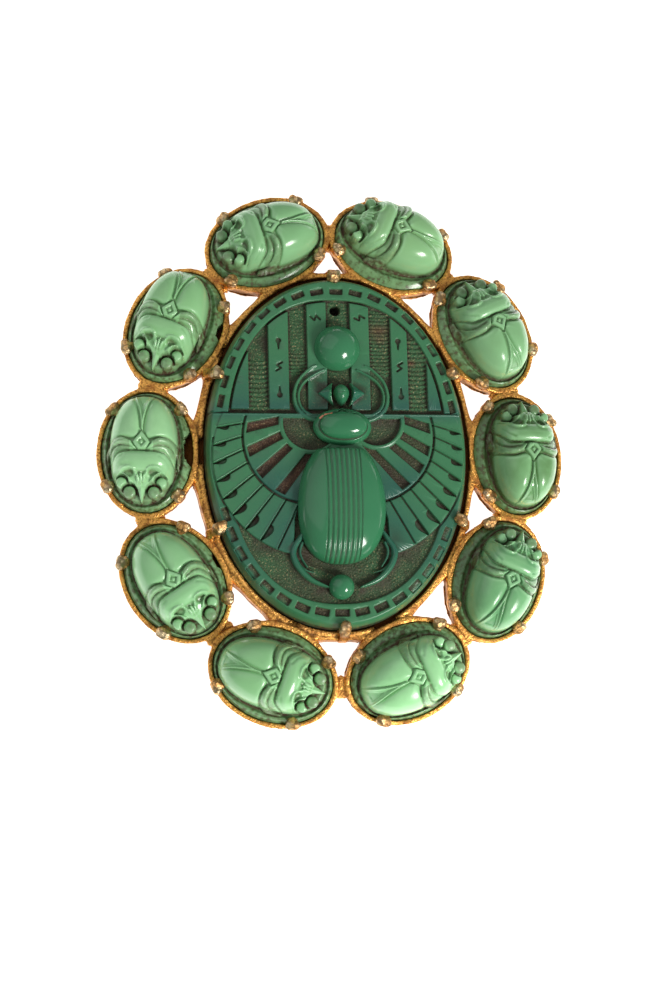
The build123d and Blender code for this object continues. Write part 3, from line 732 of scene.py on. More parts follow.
def bead_and_wedges(x, y, ground):
    """Heights of the pointed bead over the thorax and of the two wedges beside it."""
    x = x - AXIS
    power = np.where(y < 6.9, 1.45, 1.8)
    tall = np.where(y < 6.9, 1.5, 1.2)
    share = (np.abs(x / 1.05) ** power + np.abs((y - 6.92) / tall) ** power) ** (1 / power)
    bead = 1.75 * np.clip(1 - share**2, 0, 1) ** 0.5 - ground
    crease = 0.1 * np.clip(1 - np.abs(y - 6.95) / 0.12, 0, 1)
    height = np.where(share < 1, bead - crease, -FAR)
    side = np.abs(x)
    outer = (np.abs(y - 6.9) * 1.28 + side - 2.95) * 0.65
    inner = 1.28 - 0.35 * np.clip(np.abs(y - 6.9) / 1.4, 0, 1) ** 2 - side
    blade = np.maximum(np.maximum(outer, inner * 0.9), np.abs(y - 6.8) - 1.45)
    face = 0.65 * inside(blade + 0.05, 0.12) + 0.95 * np.clip(-outer / 0.85, 0, 1) - ground
    return np.maximum(height, np.where(blade < 0, face, -FAR))


def plaque_relief(x, y, half_x, half_y, ground, soft):
    """Heights of the plate over its face, in millimetres, and the marks that its material reads."""
    side = np.abs(x)
    rim = oval(x, y, half_x, half_y)
    border_x, border_y, border_power = BORDER
    field = oval(x, y, border_x - 1.05, border_y - 1.05, border_power)
    squares = border_cells(x, y)
    wing, cells, grooves, lips, notches, hollow, band, rims = (np.full(x.shape, FAR) for _ in range(8))
    for sign, measures in WINGS.items():
        here = x * sign > 0
        s = side[here]
        t = y[here]
        edge = disc(s, t, measures["edge"][:2], measures["edge"][2])
        beside_body = 5.3 + 0.35 * (sign > 0) + 0.06 * np.maximum(-6.4 - t, 0) - s
        beside_body = beside_body - 0.5 * np.clip((t + 8.5) / 2.5, 0, 1)
        wing_tip = np.where(t < -5.6, beside_body, -FAR)
        wing[here] = np.maximum(np.maximum(edge, t - SHOULDER_Y + 0.1), wing_tip)
        cells[here], grooves[here], lips[here], notches[here] = wing_marks(s, t, measures)
        bowl = disc(s, t, measures["hollow"][:2], measures["hollow"][2] - 0.2)
        hollow[here] = np.maximum(bowl, t - 3.85)
        band[here] = disc(s, t, measures["band"][:2], measures["band"][2])
        rims[here] = np.maximum(np.abs(bowl - 0.2) - 0.15, t - 3.85)
    bars = np.full(x.shape, FAR)
    for low, high in BARS:
        bars = np.minimum(bars, oblong(x, y, ((low + high) / 2, 24.95), (high - low) / 2, 20, corner=0.15))
    bars = np.maximum(bars, field + 0.28)
    # Sunk grounds: above the shoulder line, under the wings and in the wings' hollows
    upper = np.maximum(np.maximum(field, SHOULDER_Y - y), -bars)
    lower = np.maximum(np.maximum(field, y - SHOULDER_Y), -wing)
    cells = np.maximum(cells, wing)
    notches = np.maximum(notches, rim + 0.4)
    squares = np.maximum(squares, -wing)
    sunk = np.minimum(np.minimum(upper, lower), hollow)
    in_loop = inside(np.abs(x - AXIS) - 4.6, 0.8) * inside(np.abs(y - 6.9) - 2.9, 0.8)
    height = -ground * inside(sunk, soft)
    height = height - in_loop * 0.22 * inside(bars, 0.5)
    height = np.minimum(height, -0.95 * ground * inside(cells, soft))
    height = np.minimum(height, -0.85 * ground * inside(squares, soft))
    height = np.minimum(height, -0.8 * ground * inside(notches, soft))
    height = height - 0.08 * inside(field + 0.15, 0.3) * inside(-bars, 0.1) * inside(SHOULDER_Y - y, 0.1)
    height = height + ground_ribs(x, y) * inside(upper, 0.2) * (1 - in_loop)
    # Wings: grooves, lips and the band
    in_wing = inside(wing, 0.1)
    outside_band = inside(-band, 0.1)
    above_cells = inside(y - SHOULDER_Y + 0.4, 0.1)
    height = height - 0.34 * inside(np.abs(band) - 0.14, 0.16) * in_wing * above_cells
    height = height - 0.26 * inside(np.maximum(grooves, -band), 0.14) * in_wing
    height = height + 0.08 * inside(lips, 0.1) * in_wing * outside_band
    height = height + 0.1 * inside(oblong(side, y, (8.8, SHOULDER_Y - 0.2), 6.4, 0.1), 0.15)
    height = height + 0.1 * inside(rims, 0.18) * in_wing
    # The border lies a little lower under the wing tips, with a groove along their edge
    border = inside(-field, 0.12)
    under = inside(y - SHOULDER_Y, 0.1) * border * (1 - in_wing)
    height = height - 0.14 * under
    edge_line = np.abs(wing - 0.14) - 0.12
    height = height - 0.2 * inside(edge_line, 0.14) * border * inside(y - 1.5, 0.1)
    shoulder = np.abs(y - SHOULDER_Y) - 0.12
    height = height - 0.16 * inside(shoulder, 0.14) * border
    cuts = ornament(x, y)
    height = height - 0.26 * inside(cuts, 0.14) * inside(bars, 0.1)
    height = np.maximum(height, legs(x, y, ground))
    height = np.maximum(height, bead_and_wedges(x, y, ground))
    hole = disc(x, y, HOLE, HOLE_RADIUS)
    height = height - 2.0 * inside(hole, 0.16)
    # Shoulder and its rounded edge
    t = np.clip(-rim / 0.75, 0, 1)
    height = height - PLAQUE_SHOULDER * (1 - t) ** 1.6 - 0.03
    low_parts = np.clip((-height - 0.12) / 0.15, 0, 1)
    sunk_parts = inside(sunk, 0.1) + inside(cells, 0.1) + inside(squares, 0.1)
    red = inside(cells, 0.1) + 0.9 * inside(notches, 0.1) + 0.4 * inside(squares, 0.1)
    marks = {
        "ground": np.clip(sunk_parts + 0.25 * in_loop, 0, 1) * low_parts * inside(rim + 0.9, 0.2),
        "red": np.clip(red, 0, 1) * np.clip(0.75 - x / 12, 0.2, 1),
        "teal": teal_mark(x, y, wing, bars, band),
        "notch": 0.8 * inside(notches, 0.1) + inside(cuts, 0.1) * inside(bars, 0.1) + inside(hole, 0.1) * 2,
    }
    return height, marks


def teal_mark(x, y, wing, bars, band):
    """Where the dark glass turns blue: low on the bars, at the top and the bottom of the wings."""
    side = np.abs(x)
    low_bars = inside(bars, 0.2) * np.clip((12 - y) / 7, 0, 1)
    line = 0.8 * np.exp(-(((y - 4.5) / 1.0) ** 2))
    lower_wing = inside(wing, 0.2) * np.clip((-3.0 - y) / 6, 0, 1) * np.clip((13 - side) / 6, 0, 1)
    between_cells = inside(band, 0.3) * np.clip((1.0 - y) / 4.5, 0, 1)
    lower_border = np.clip((-4 - y) / 5, 0, 1) * np.clip((y + 19) / 6, 0, 1) * inside(-wing, 0.2) * 0.7
    return np.clip(0.8 * low_bars + line + 0.8 * lower_wing + 0.8 * between_cells + lower_border, 0, 1) * 0.9


class SCARAB_OT_plaque_plate(bpy.types.Operator):
    """Press the plaque's oval plate with its border, bars, wings and legs"""

    bl_idname = "scarab.plaque_plate"
    bl_label = "Plaque plate"

    def execute(self, context):
        settings = context.scene.scarab_brooch.plaque
        half_x = settings.half_width / MM
        half_y = settings.half_height / MM
        bm, order, u, v = grid_mesh(settings.columns, settings.rows)
        px, py = round_plan(u, v)
        x = px * half_x
        y = py * half_y
        height, marks = plaque_relief(x, y, half_x, half_y, settings.ground_depth / MM, settings.edge / MM)
        low = blurred(height, 5) - height
        dirt = np.clip((low - 0.035) / 0.12, 0, 1) * np.clip((0.15 - height) / 0.2, 0, 1)
        dirt = np.clip(dirt + marks["notch"], 0, 1)
        for at_x, at_y, reach, share in RUST:
            near = np.exp(-(np.hypot(x - at_x, (y - at_y) * 1.8) / reach) ** 2)
            marks["red"] = np.maximum(marks["red"], share * near)
        lay_grid(bm, order, x, y, height + PLAQUE_FACE)
        for name in ("ground", "red", "teal"):
            point_layer(bm, name, order, marks[name])
        point_layer(bm, "dirt", order, dirt)
        point_layer(bm, "polish", order, np.clip(height / 0.6, 0, 1))
        close_under(bm, PLAQUE_SEAT)
        glass = pressed_glass(settings)
        plate = piece("plaque_plate", bm, glass, ["winged_scarab_plaque"])
        thin(plate, settings.triangles)
        return {"FINISHED"}


# The plaque's raised beetle, in millimetres

DISC_MIDDLE = (0.18, 12.6)
BALL_MIDDLE = (-0.05, -16.75)
BALL_RISE = 1.45
BODY_CELLS = (200, 240)
THORAX_CELLS = (150, 120)
THORAX_LIP = ((-1.6, 1.35), (-0.85, 1.45), (-0.1, 2.0), (0.45, 1.65), (0.95, 1.4), (1.45, 1.3), (1.9, 1.55))
# How far the raised pieces reach down into the plate
SUNK = 0.6


def ball(name, middle, rise, radius, material):
    """A polished ball, sunk into the plate so that it stands out by its rise."""
    bm = bmesh.new()
    bmesh.ops.create_uvsphere(bm, u_segments=72, v_segments=36, radius=radius * MM)
    centre = Vector((*middle, PLAQUE_FACE + rise - radius))
    bmesh.ops.translate(bm, vec=centre * MM, verts=bm.verts)
    polish = bm.verts.layers.float.new("polish")
    dirt = bm.verts.layers.float.new("dirt")
    for v in bm.verts:
        v[polish] = 1.0
        low = v.co.z / MM - PLAQUE_FACE
        v[dirt] = min(max((0.12 - low) / 0.35, 0), 1)
    return piece(name, bm, material)


def ribbed_body(settings, material):
    """The beetle's ribbed wing cases, cut flat at the top."""
    bm, order, u, v = grid_mesh(*BODY_CELLS)
    low_y, high_y, middle_y = -14.06, 0.1, -6.9
    # Rows stand closer together towards the round end
    t = (v + 1) / 2
    y = low_y + (high_y - low_y) * (1 - np.cos(t * pi * 0.5)) ** 0.9
    share = np.where(y > middle_y, (y - middle_y) / 8.2, (y - middle_y) / (middle_y - low_y))
    power = np.where(share > 0, 2.0, 2.4)
    width = 5.34 * np.clip(1 - np.abs(share) ** power, 0, 1) ** (1 / power)
    across = np.sin(u * pi / 2)
    x = across * width
    rise = settings.body_rise / MM
    tall = rise * np.clip(1 - np.abs(share) ** 2.6, 0, 1) ** 0.5
    top_round = 1 - np.clip((y - high_y + 0.5) / 0.5, 0, 1) ** 2.5 * 0.75
    z = tall * top_round * np.clip(1 - np.abs(across) ** 2.4, 0, 1) ** 0.5
    ribs = inside(np.abs(x) - 2.1, 0.1) * np.clip(z / 0.6, 0, 1)
    wave = np.cos(2 * pi * x / 0.6)
    z = z + ribs * (0.09 * np.sign(wave) * np.abs(wave) ** 0.7 - 0.09)
    axis = AXIS - 0.3 - 0.3 * np.clip((-6 - y) / 8, 0, 1) ** 2
    lay_grid(bm, order, x + axis, y, z + PLAQUE_FACE - 0.1)
    point_layer(bm, "polish", order, np.ones(x.shape))
    soil = ribs * np.clip(-wave, 0, 1) ** 2 * (0.45 + 0.4 * np.clip((-10 - y) / 3, 0, 1))
    foot = np.clip((0.35 - z) / 0.4, 0, 1) * 0.8
    point_layer(bm, "dirt", order, np.clip(soil + foot, 0, 1))
    close_under(bm, PLAQUE_FACE - SUNK)
    bmesh.ops.remove_doubles(bm, verts=bm.verts, dist=0.002 * MM)
    return piece("plaque_body", bm, material)


def thorax(material):
    """The beetle's thorax: a polished dome in a rolled collar, with a brace-shaped lip at its top."""
    bm, order, u, v = grid_mesh(*THORAX_CELLS)
    px, py = round_plan(u, v)
    x = px * 3.6
    y = py * 2.3
    share = np.hypot(px, py)
    collar = 1.25 * np.clip(1 - share**4, 0, 1) ** 0.6
    dome_share = (np.abs(x / 3.05) ** 2.3 + np.abs((y + 0.02) / 1.75) ** 2.3) ** (1 / 2.3)
    dome = 2.3 * np.clip(1 - dome_share**2.6, 0, 1) ** 0.5
    z = np.where(dome_share < 1, np.maximum(0.75 + 0.7 * dome, 0), collar)
    gap = (dome_share - 1.0) * 1.9
    z = np.minimum(z, np.where(np.abs(gap) < 0.12, 0.8, FAR))
    brace = smooth_line(THORAX_LIP)
    away = stroke(x, y, brace)[0]
    above = stroke(x, y - 0.14, brace)[0]
    z = z + 0.14 * inside(above - 0.09, 0.12) - 0.2 * inside(away - 0.05, 0.12)
    low = blurred(z, 3) - z
    lay_grid(bm, order, x + AXIS, y + 2.75, z + PLAQUE_FACE - 0.1)
    point_layer(bm, "polish", order, np.ones(x.shape))
    point_layer(bm, "dirt", order, np.clip((low - 0.02) / 0.12, 0, 1) * 0.9)
    dot = stroke(x, y, ((-2.75, 0.95), (-2.45, 1.2)))[0]
    dash = stroke(x, y, ((-2.15, 1.36), (-1.5, 1.4)))[0]
    point_layer(bm, "chip", order, inside(np.minimum(dot, dash) - 0.12, 0.08))
    close_under(bm, PLAQUE_FACE - SUNK)
    return piece("plaque_thorax", bm, material)


class SCARAB_OT_plaque_beetle(bpy.types.Operator):
    """Model the polished disc, thorax, ribbed body and ball that stand out of the plaque"""

    bl_idname = "scarab.plaque_beetle"
    bl_label = "Plaque beetle"

    def execute(self, context):
        settings = context.scene.scarab_brooch.plaque
        glass = bpy.data.materials["pressed dark green glass"]
        ball("plaque_disc", DISC_MIDDLE, settings.disc_rise / MM, settings.disc_radius / MM, glass)
        ball("plaque_ball", BALL_MIDDLE, BALL_RISE, settings.ball_radius / MM, glass)
        ribbed_body(settings, glass)
        thorax(glass)
        return {"FINISHED"}


# The scarab stones

# A stone's mould in millimetres: +X is its head end, the second number is counted from its axis
DOME = (6.85, 4.4, 2.3)
DOME_WALL = 3.3
LEG_BAND = (
    (0.5, 0.7), (0.0, 1.4), (-0.28, 2.2), (-0.32, 3.0),
    (-0.05, 3.8), (0.55, 4.35), (1.4, 4.6), (2.3, 4.6),
)
LEG_BAND_INNER = ((0.75, 1.2), (0.45, 2.0), (0.4, 2.8), (0.65, 3.45), (1.2, 3.85))
PLATE_LINE = ((1.5, 2.3), (2.0, 3.1), (2.7, 3.55), (3.3, 3.4))
BROW = ((3.75, 0.6), (3.2, 0.95), (2.95, 1.6), (3.05, 2.3), (3.5, 2.85), (4.0, 2.95))
BROW_RIDGE = ((3.75, 2.25), (4.0, 1.85), (4.35, 1.5), (4.8, 1.2))
PETALS = (0.0, 0.43)
# Place, radius, foot's height and the soil in the moat round it
CHEEK = (4.55, 2.55, 0.66, 3.95, 0.2)
EYE = (5.62, 1.55, 0.75, 3.35, 0.45)
# The beetle is a little smaller than the numbers of its mould, by these along and across
SHRINK = (1.035, 1.07)


def flange_height(inner, outer, flange):
    """Height of the flange from its distance to the dome and to the outline: a rounded rib and a channel."""
    across = outer / np.maximum(outer + inner, 1e-6)
    edge = 0.6 * np.clip(1 - across / 0.5, 0, 1) ** 1.4
    channel = 0.3 * inside(0.66 - across, 0.3)
    return flange - edge - channel


def trumpet(tail):
    """Half the width of the band that widens between the wing cases towards the tail."""
    return 0.15 + 1.3 * np.clip((tail - 1.7) / 5.1, 0, 1.1) ** 1.9


def wing_cases(x, side):
    """Relief of the two puffed wing cases and of the rimmed band that widens between them."""
    tail = -x
    width = trumpet(tail)
    front = 0.25 + 0.25 * np.clip(1.9 - side, 0, 1.5) ** 1.3
    edge = np.maximum(width - side, (front - tail) * 0.9)
    lobe = np.where(edge < 0, 0.62 * (1 - np.exp(edge / 0.42)), 0)
    rim = 0.34 * np.exp(-(((side - width + 0.14) / 0.15) ** 2)) * (tail > 1.2)
    band = np.where(side < width, 0.16 * inside(side - width + 0.1, 0.1), 0)
    nook = np.maximum(side - (tail - 4.8) * 0.45, tail - 6.2)
    band = band - 0.24 * inside(nook, 0.14)
    return np.maximum(lobe, band + rim)


def scutellum(tail, side):
    """Relief of the small shield behind the pronotum: a rimmed kite round a sunk lozenge."""
    kite = np.where(tail > 0.1, (1.5 - tail) * 0.8, 1.12 - (0.1 - tail) * 0.75)
    kite = np.where(tail < -0.75, -1.0, kite)
    outside = (side - kite) * 0.75
    lozenge = (np.abs(tail - 0.12) / 0.6 + side / 0.55 - 1) * 0.38
    relief = 0.5 * inside(outside, 0.2) - 0.26 * inside(lozenge, 0.14) + 0.2 * inside(lozenge + 0.2, 0.12)
    return relief, outside


def leg_bands(x, side, relief, outside_shield):
    """Lay the legs that sweep back round the pronotum over the relief; their distance and the pit too."""
    leg = stroke(x, side, smooth_line(LEG_BAND))[0]
    inner_leg = stroke(x, side, smooth_line(LEG_BAND_INNER))[0]
    pit = inside(np.minimum(leg - 0.45, inner_leg - 0.35), 0.3) * (outside_shield > 0)
    relief = relief * (1 - pit) - 0.12 * pit
    clear = inside(0.12 - outside_shield, 0.24)
    beside_leg = np.exp(-(((leg - 0.56) / 0.15) ** 2)) * clear * (leg > 0.36)
    relief = relief - 0.2 * beside_leg
    growth = np.clip((side - 0.9) / 1.3, 0, 1)
    band = rounded(leg, 0.26 + 0.18 * growth, 0.44 + 0.5 * growth) * clear - 0.04
    relief = np.maximum(relief, band)
    return np.maximum(relief, 0.2 * np.exp(-((inner_leg / 0.26) ** 2))), leg, pit


def pronotum(x, side, relief, leg):
    """Lay the smooth pronotum over the relief, behind it a groove; its distance and its sunk side too."""
    back = 1.0 + 0.1 * np.maximum(side - 1.5, 0) + 1.3 * np.clip((side - 2.6) / 1.4, 0, 1) ** 2
    plate = np.maximum(back - x, x - 3.35 - 0.5 * np.clip(side - 2.9, 0, 1))
    plate = np.maximum(plate, side - 4.0 - 0.15 * np.clip(x - 2, 0, 2))
    groove = np.exp(-(((back - x - 0.14) / 0.2) ** 2)) * (side < 4.1)
    relief = relief - 0.3 * groove
    beside = inside(np.maximum(back - x - 0.05, x - 4.1), 0.3) * inside(4.0 - side, 0.3) * (leg > 0.3)
    relief = relief - 0.9 * beside
    relief = np.where(plate < 0, 0.1 + 0.5 * (1 - np.exp(plate / 0.35)), relief)
    line = stroke(x, side, smooth_line(PLATE_LINE))[0]
    return relief - 0.1 * np.exp(-((line / 0.2) ** 2)), plate, beside


def carved_head(x, side, relief, plate):
    """Carve the brow arches, the hollows under them with a ridge each, and the petals on the nose."""
    relief = np.where((x > 3.1) & (plate > -0.1), np.minimum(relief, 0.1), relief)
    hollowed = inside(oblong(x, side, (3.6, 1.62), 0.4, 0.68, -0.3, corner=0.38), 0.4)
    relief = relief * (1 - hollowed) - 0.28 * hollowed
    brow = stroke(x, side, smooth_line(BROW))[0]
    relief = relief + 0.32 * np.exp(-((brow / 0.2) ** 2))
    ridge = stroke(x, side, smooth_line(BROW_RIDGE))[0]
    relief = np.maximum(relief, rounded(ridge, 0.26, 0.45) - 0.05)
    for at in PETALS:
        petal = stroke(x, side, ((3.8 + 0.3 * at, at), (4.5, at * 0.8)))[0]
        relief = np.maximum(relief, rounded(petal, 0.19, 0.3) + 0.12)
    return relief, hollowed


def cheeks_and_eyes(x, side, height, soiled, from_dome):
    """Stand the cheeks and the eyes in their moats."""
    for cx, cy, radius, foot, soil in (CHEEK, EYE):
        away = np.hypot(x - cx, side - cy)
        moat = inside(away - radius - 0.3, 0.14) * (from_dome < 0.15)
        sunk = height * (1 - moat) + (foot - 0.5) * moat
        height = np.where(moat > 0, np.minimum(height, sunk), height)
        soiled = np.maximum(soiled, moat * inside(radius - away, 0.1) * soil)
        top = foot + 0.12 + 0.5 * np.sqrt(np.clip(radius**2 - away**2, 0, None))
        height = np.where(away < radius, np.maximum(height, top), height)
    return height, soiled


def scarab_heights(x, y, outer, flange, top):
    """Heights of a stone over its seat, its distance outside the dome and its dirt, in millimetres."""
    x = x * SHRINK[0]
    y = y * SHRINK[1]
    side = np.abs(y)
    dome_x, dome_y, power = DOME
    share = (np.abs(x / dome_x) ** power + np.abs(y / dome_y) ** power) ** (1 / power)
    from_dome = oval(x, y, dome_x, dome_y, power)
    height = flange_height(np.clip(from_dome, 0, None), outer, flange)
    base = flange - 0.5
    inner = np.clip(share, 0, 1)
    wall = DOME_WALL - 0.9 * np.clip((x - 2.2) / 4.2, 0, 1) ** 1.3
    dome = wall * (1 - inner**6) ** 0.6 + (top - 0.6 - base - DOME_WALL) * (1 - inner**2)
    relief = wing_cases(x, side)
    shield, outside_shield = scutellum(-x, side)
    shielded = np.maximum(relief * inside(0.2 - outside_shield, 0.3), shield)
    relief = np.where(outside_shield < 0.16, shielded, relief)
    relief, leg, pit = leg_bands(x, side, relief, outside_shield)
    relief, plate, beside = pronotum(x, side, relief, leg)
    relief, hollowed = carved_head(x, side, relief, plate)
    soft = np.clip((1 - inner) / 0.06, 0, 1)
    height = np.where(share < 1, np.maximum(base + dome + relief * soft, base), height)
    # The leg bands run on over the dome's foot
    band_out = rounded(leg, 0.36, 0.9) + flange + 1.1 * np.clip((1.05 - share) / 0.15, 0, 1)
    at_foot = (share > 0.9) & (share < 1.07) & (leg < 0.36)
    height = np.where(at_foot, np.maximum(height, band_out), height)
    # The head's end is sunk, and the cheeks, the eyes and the beak stand in it
    soiled = np.clip(0.25 * hollowed + 0.75 * beside * (share < 1) + 0.35 * pit * (side > 1.5), 0, 1)
    sunk_end = inside(5.25 - x, 0.5) * (share < 1)
    height = height - sunk_end * np.maximum(height - base - 1.25, 0)
    soiled = np.maximum(soiled, 0.5 * sunk_end * (from_dome < -0.1))
    height, soiled = cheeks_and_eyes(x, side, height, soiled, from_dome)
    t = np.clip((x - 4.4) / 2.4, 0, 1)
    beak = side - 0.62 * (1 - t) ** 0.9 - 0.05
    crest = 4.95 - 1.9 * t**1.2 - 0.9 * side
    on_beak = (beak < 0) & (x > 4.4) & (x < 6.85)
    height = np.where(on_beak, np.maximum(height, crest), height)
    return height, from_dome, np.where(on_beak, 0, soiled)


def cup_matrix(at, sink, turn, lift=0.0):
    """The place of a cup's rim, or of a plane above it, in millimetres."""
    t = radians(at)
    out = Vector((cos(t) / RING[0], sin(t) / RING[1], 0)).normalized()
    centre = Vector((RING[0] * cos(t), RING[1] * sin(t), 0)) + out * (CUP[1] * cos(CUP_LEAN) - sink)
    centre.z = CUP_RIM
    along = Vector((-out.y, out.x, 0))
    up = Vector((out.x * sin(CUP_LEAN), out.y * sin(CUP_LEAN), cos(CUP_LEAN)))
    inward = up.cross(along)
    frame_of = Matrix((along, inward, up)).transposed() @ Matrix.Rotation(radians(turn), 3, "Z")
    return Matrix.Translation(centre + up * lift) @ frame_of.to_4x4()


def chip_edge(x, y, half_x, half_y, chip):
    """How much of the flange is left, as a share of the outline, where a chip is broken away."""
    at, spread, depth = chip
    angle = np.degrees(np.arctan2(y / half_y, x / half_x))
    away = np.abs((angle - at + 180) % 360 - 180) / spread
    jag = 0.35 * np.sin(angle * 0.9) + 0.2 * np.sin(angle * 2.3 + 1)
    return 1 - depth * np.clip((1 - away**2) * (1.6 + jag), 0, 1)


class SCARAB_OT_stones(bpy.types.Operator):
    """Mould the ten scarab stones, each with its own chips and patina"""

    bl_idname = "scarab.stones"
    bl_label = "Scarab stones"

    def execute(self, context):
        settings = context.scene.scarab_brooch.stones
        half_x = settings.half_length / MM
        half_y = settings.half_width / MM
        for cup in CUPS:
            name = cup[0]
            slide_x, slide_y, tone, stain = STONES[name]
            bm, order, u, v = grid_mesh(settings.cells, settings.cells)
            px, py = round_plan(u, v)
            x = px * half_x
            y = py * half_y
            turn = radians(cup[4])
            along = (x - slide_x) * cos(turn) + (y - slide_y) * sin(turn)
            across = (y - slide_y) * cos(turn) - (x - slide_x) * sin(turn)
            rim = -oval(x, y, half_x, half_y)
            flange = settings.flange / MM
            z, from_dome, soiled = scarab_heights(along, across, rim, flange, settings.height / MM)
            share = np.hypot(px, py)
            if name in CHIPS:
                left = chip_edge(x, y, half_x, half_y, CHIPS[name])
                over = np.clip(share / left, 1, None)
                broken = share > left
                x = x / over
                y = y / over
                wall = (share - left) / np.maximum(1 - left, 0.001)
                z = np.where(broken, z * (1 - 0.85 * np.clip(wall, 0, 1)), z)
            low = blurred(z, 3) - z
            wide = blurred(z, 7) - z
            dirt = 0.5 * np.clip((low - 0.045) / 0.13, 0, 1) + 0.3 * np.clip((wide - 0.2) / 0.4, 0, 1)
            foot = np.exp(-(((from_dome - 0.08) / 0.14) ** 2))
            dirt = np.clip(dirt * 0.8 + foot * 0.4 + soiled, 0, 1)
            # Ridges for the painted highlight, which also stands for wear
            ridge = np.clip(-low / 0.06, 0, 1)
            seat = cup_matrix(*cup[1:4], lift=CUP_FLOOR - CUP_DEPTH + SEAT_GAP)
            lay_grid(bm, order, x, y, z)
            point_layer(bm, "dirt", order, dirt)
            point_layer(bm, "ridge", order, ridge)
            point_layer(bm, "flange", order, inside(-from_dome, 0.15))
            close_under(bm, 0.0)
            place = Matrix.Scale(MM, 4) @ seat @ Matrix.Scale(1 / MM, 4)
            bmesh.ops.transform(bm, matrix=place, verts=bm.verts)
            glass = moulded_glass(settings, f"moulded light green glass {name}", srgb(tone), stain)
            piece(f"stone_{name}", bm, glass, [f"scarab_stone_{name}"])
        return {"FINISHED"}


# The gilt frame and the pin


def in_cup(points, cup):
    """Points in a cup's own frame, with its rim's middle at 0, and the turn into that frame."""
    back = np.array(cup_matrix(*cup[1:4]).inverted())
    turn = back[:3, :3].T
    return points @ turn + back[:3, 3], turn


def frame_marks(points):
    """How much painted shade each point of the frame gets, deep in a cup or in the ring or down a side, and
    how much it is a claw's tip.
    """
    x, y, z = points.T
    recess_shade = np.zeros(len(points))
    bare = np.zeros(len(points))
    ring = oval(x, y, *RING)
    rim_over = np.where(np.abs(ring + 0.3) < 1.0, RING_RIM, CUP_RIM)
    for cup in CUPS:
        local = in_cup(points, cup)[0]
        share = np.hypot(local[:, 0] / (CUP[0] - CUP_WALL), local[:, 1] / (CUP[1] - CUP_WALL))
        near = share < 1.14
        rim_over = np.where(near & (ring > 0.3), z - local[:, 2], rim_over)
        within = share < 1.012
        deep = np.clip((-0.25 - local[:, 2]) / 0.6, 0, 1) * 0.9
        recess_shade = np.where(within, np.maximum(recess_shade, deep), recess_shade)
        tip = (share < 1.2) & (local[:, 2] > 0.15) & (ring > 0.6)
        bare = np.where(tip, np.maximum(bare, np.clip((local[:, 2] - 0.15) / 0.3, 0, 1)), bare)
    # Painted shade down the outer walls, deeper further below the rims
    side = np.clip((rim_over - 0.5 - z) / 0.9, 0, 1) * 0.6
    recess_shade = np.maximum(recess_shade, side)
    in_ring = oval(x, y, RING[0] - RING_WALL, RING[1] - RING_WALL) < 0.03
    deep = np.clip((RING_RIM - 0.15 - z) / 0.5, 0, 1)
    recess_shade = np.where(in_ring, np.maximum(recess_shade, deep), recess_shade)
    tip = (np.abs(ring) < 2.2) & (z > RING_RIM + 1.2)
    bare = np.where(tip, np.maximum(bare, np.clip((z - RING_RIM - 1.2) / 0.8, 0, 1)), bare)
    return recess_shade, bare


def noise_at(points, size):
    """Smooth noise at points in metres, with lumps of a size in millimetres."""
    return np.array([noise.noise(Vector(p) / (size * MM)) for p in points.tolist()])


def wall_taper(points, normals):
    """How far the outer walls draw in towards the cups' and the ring's backs, in millimetres."""
    x, y, z = points.T
    # The ring's wall is thicker on its left and at its bottom
    inner = oval(x, y, RING[0] - RING_WALL, RING[1] - RING_WALL)
    near = np.clip(1 - (np.abs(inner) - 0.1) / 0.3, 0, 1)
    thicker = near * np.clip(0.3 - 0.75 * (x / RING[0] + y / RING[1]), 0, 1)
    thicker = thicker * np.clip((z - PLAQUE_SEAT) / 0.8, 0, 1)
    taper = -0.6 * thicker * np.clip(-(normals[:, 0] * x / 17 + normals[:, 1] * y / 23) * 1.3, 0, 1)
    walls = [oval(x, y, *RING)]
    for cup in CUPS:
        local, turn = in_cup(points, cup)
        facing = normals @ turn
        out = np.stack([local[:, 0] / CUP[0] ** 2, local[:, 1] / CUP[1] ** 2], axis=1)
        out /= np.maximum(np.linalg.norm(out, axis=1, keepdims=True), 1e-9)
        turned_out = np.clip((facing[:, :2] * out).sum(1), 0, 1)
        walls.append(oval(local[:, 0], local[:, 1], *CUP))
        near = np.abs(walls[-1]) < 0.25
        deep = np.clip(-local[:, 2] / CUP_DEPTH, 0, 1.3)
        taper = np.where(near, np.maximum(taper, 0.38 * turned_out * deep), taper)
    # Solder rounds the corners where two walls meet
    own, other = np.sort(walls, axis=0)[:2]
    upright = 1 - np.abs(normals[:, 2])
    solder = np.clip(1 - other / 1.3, 0, 1) ** 2 * upright * (np.abs(own) < 0.45) * (other > -0.2)
    return taper - 0.55 * solder


def stands_out(mesh, points, normals):
    """How far each point stands out from the points round it, in millimetres."""
    pairs = np.empty(len(mesh.edges) * 2, np.int32)
    mesh.edges.foreach_get("vertices", pairs)
    first, second = pairs.reshape(-1, 2).T
    total = len(points)
    count = np.maximum(np.bincount(pairs, minlength=total), 1)
    soft = points
    for _ in range(4):
        gathered = np.zeros(points.shape)
        for one, other in ((first, second), (second, first)):
            for axis in range(3):
                gathered[:, axis] += np.bincount(one, soft[other, axis], total)
        soft = gathered / count[:, None]
    return ((points - soft) * normals).sum(1) / MM


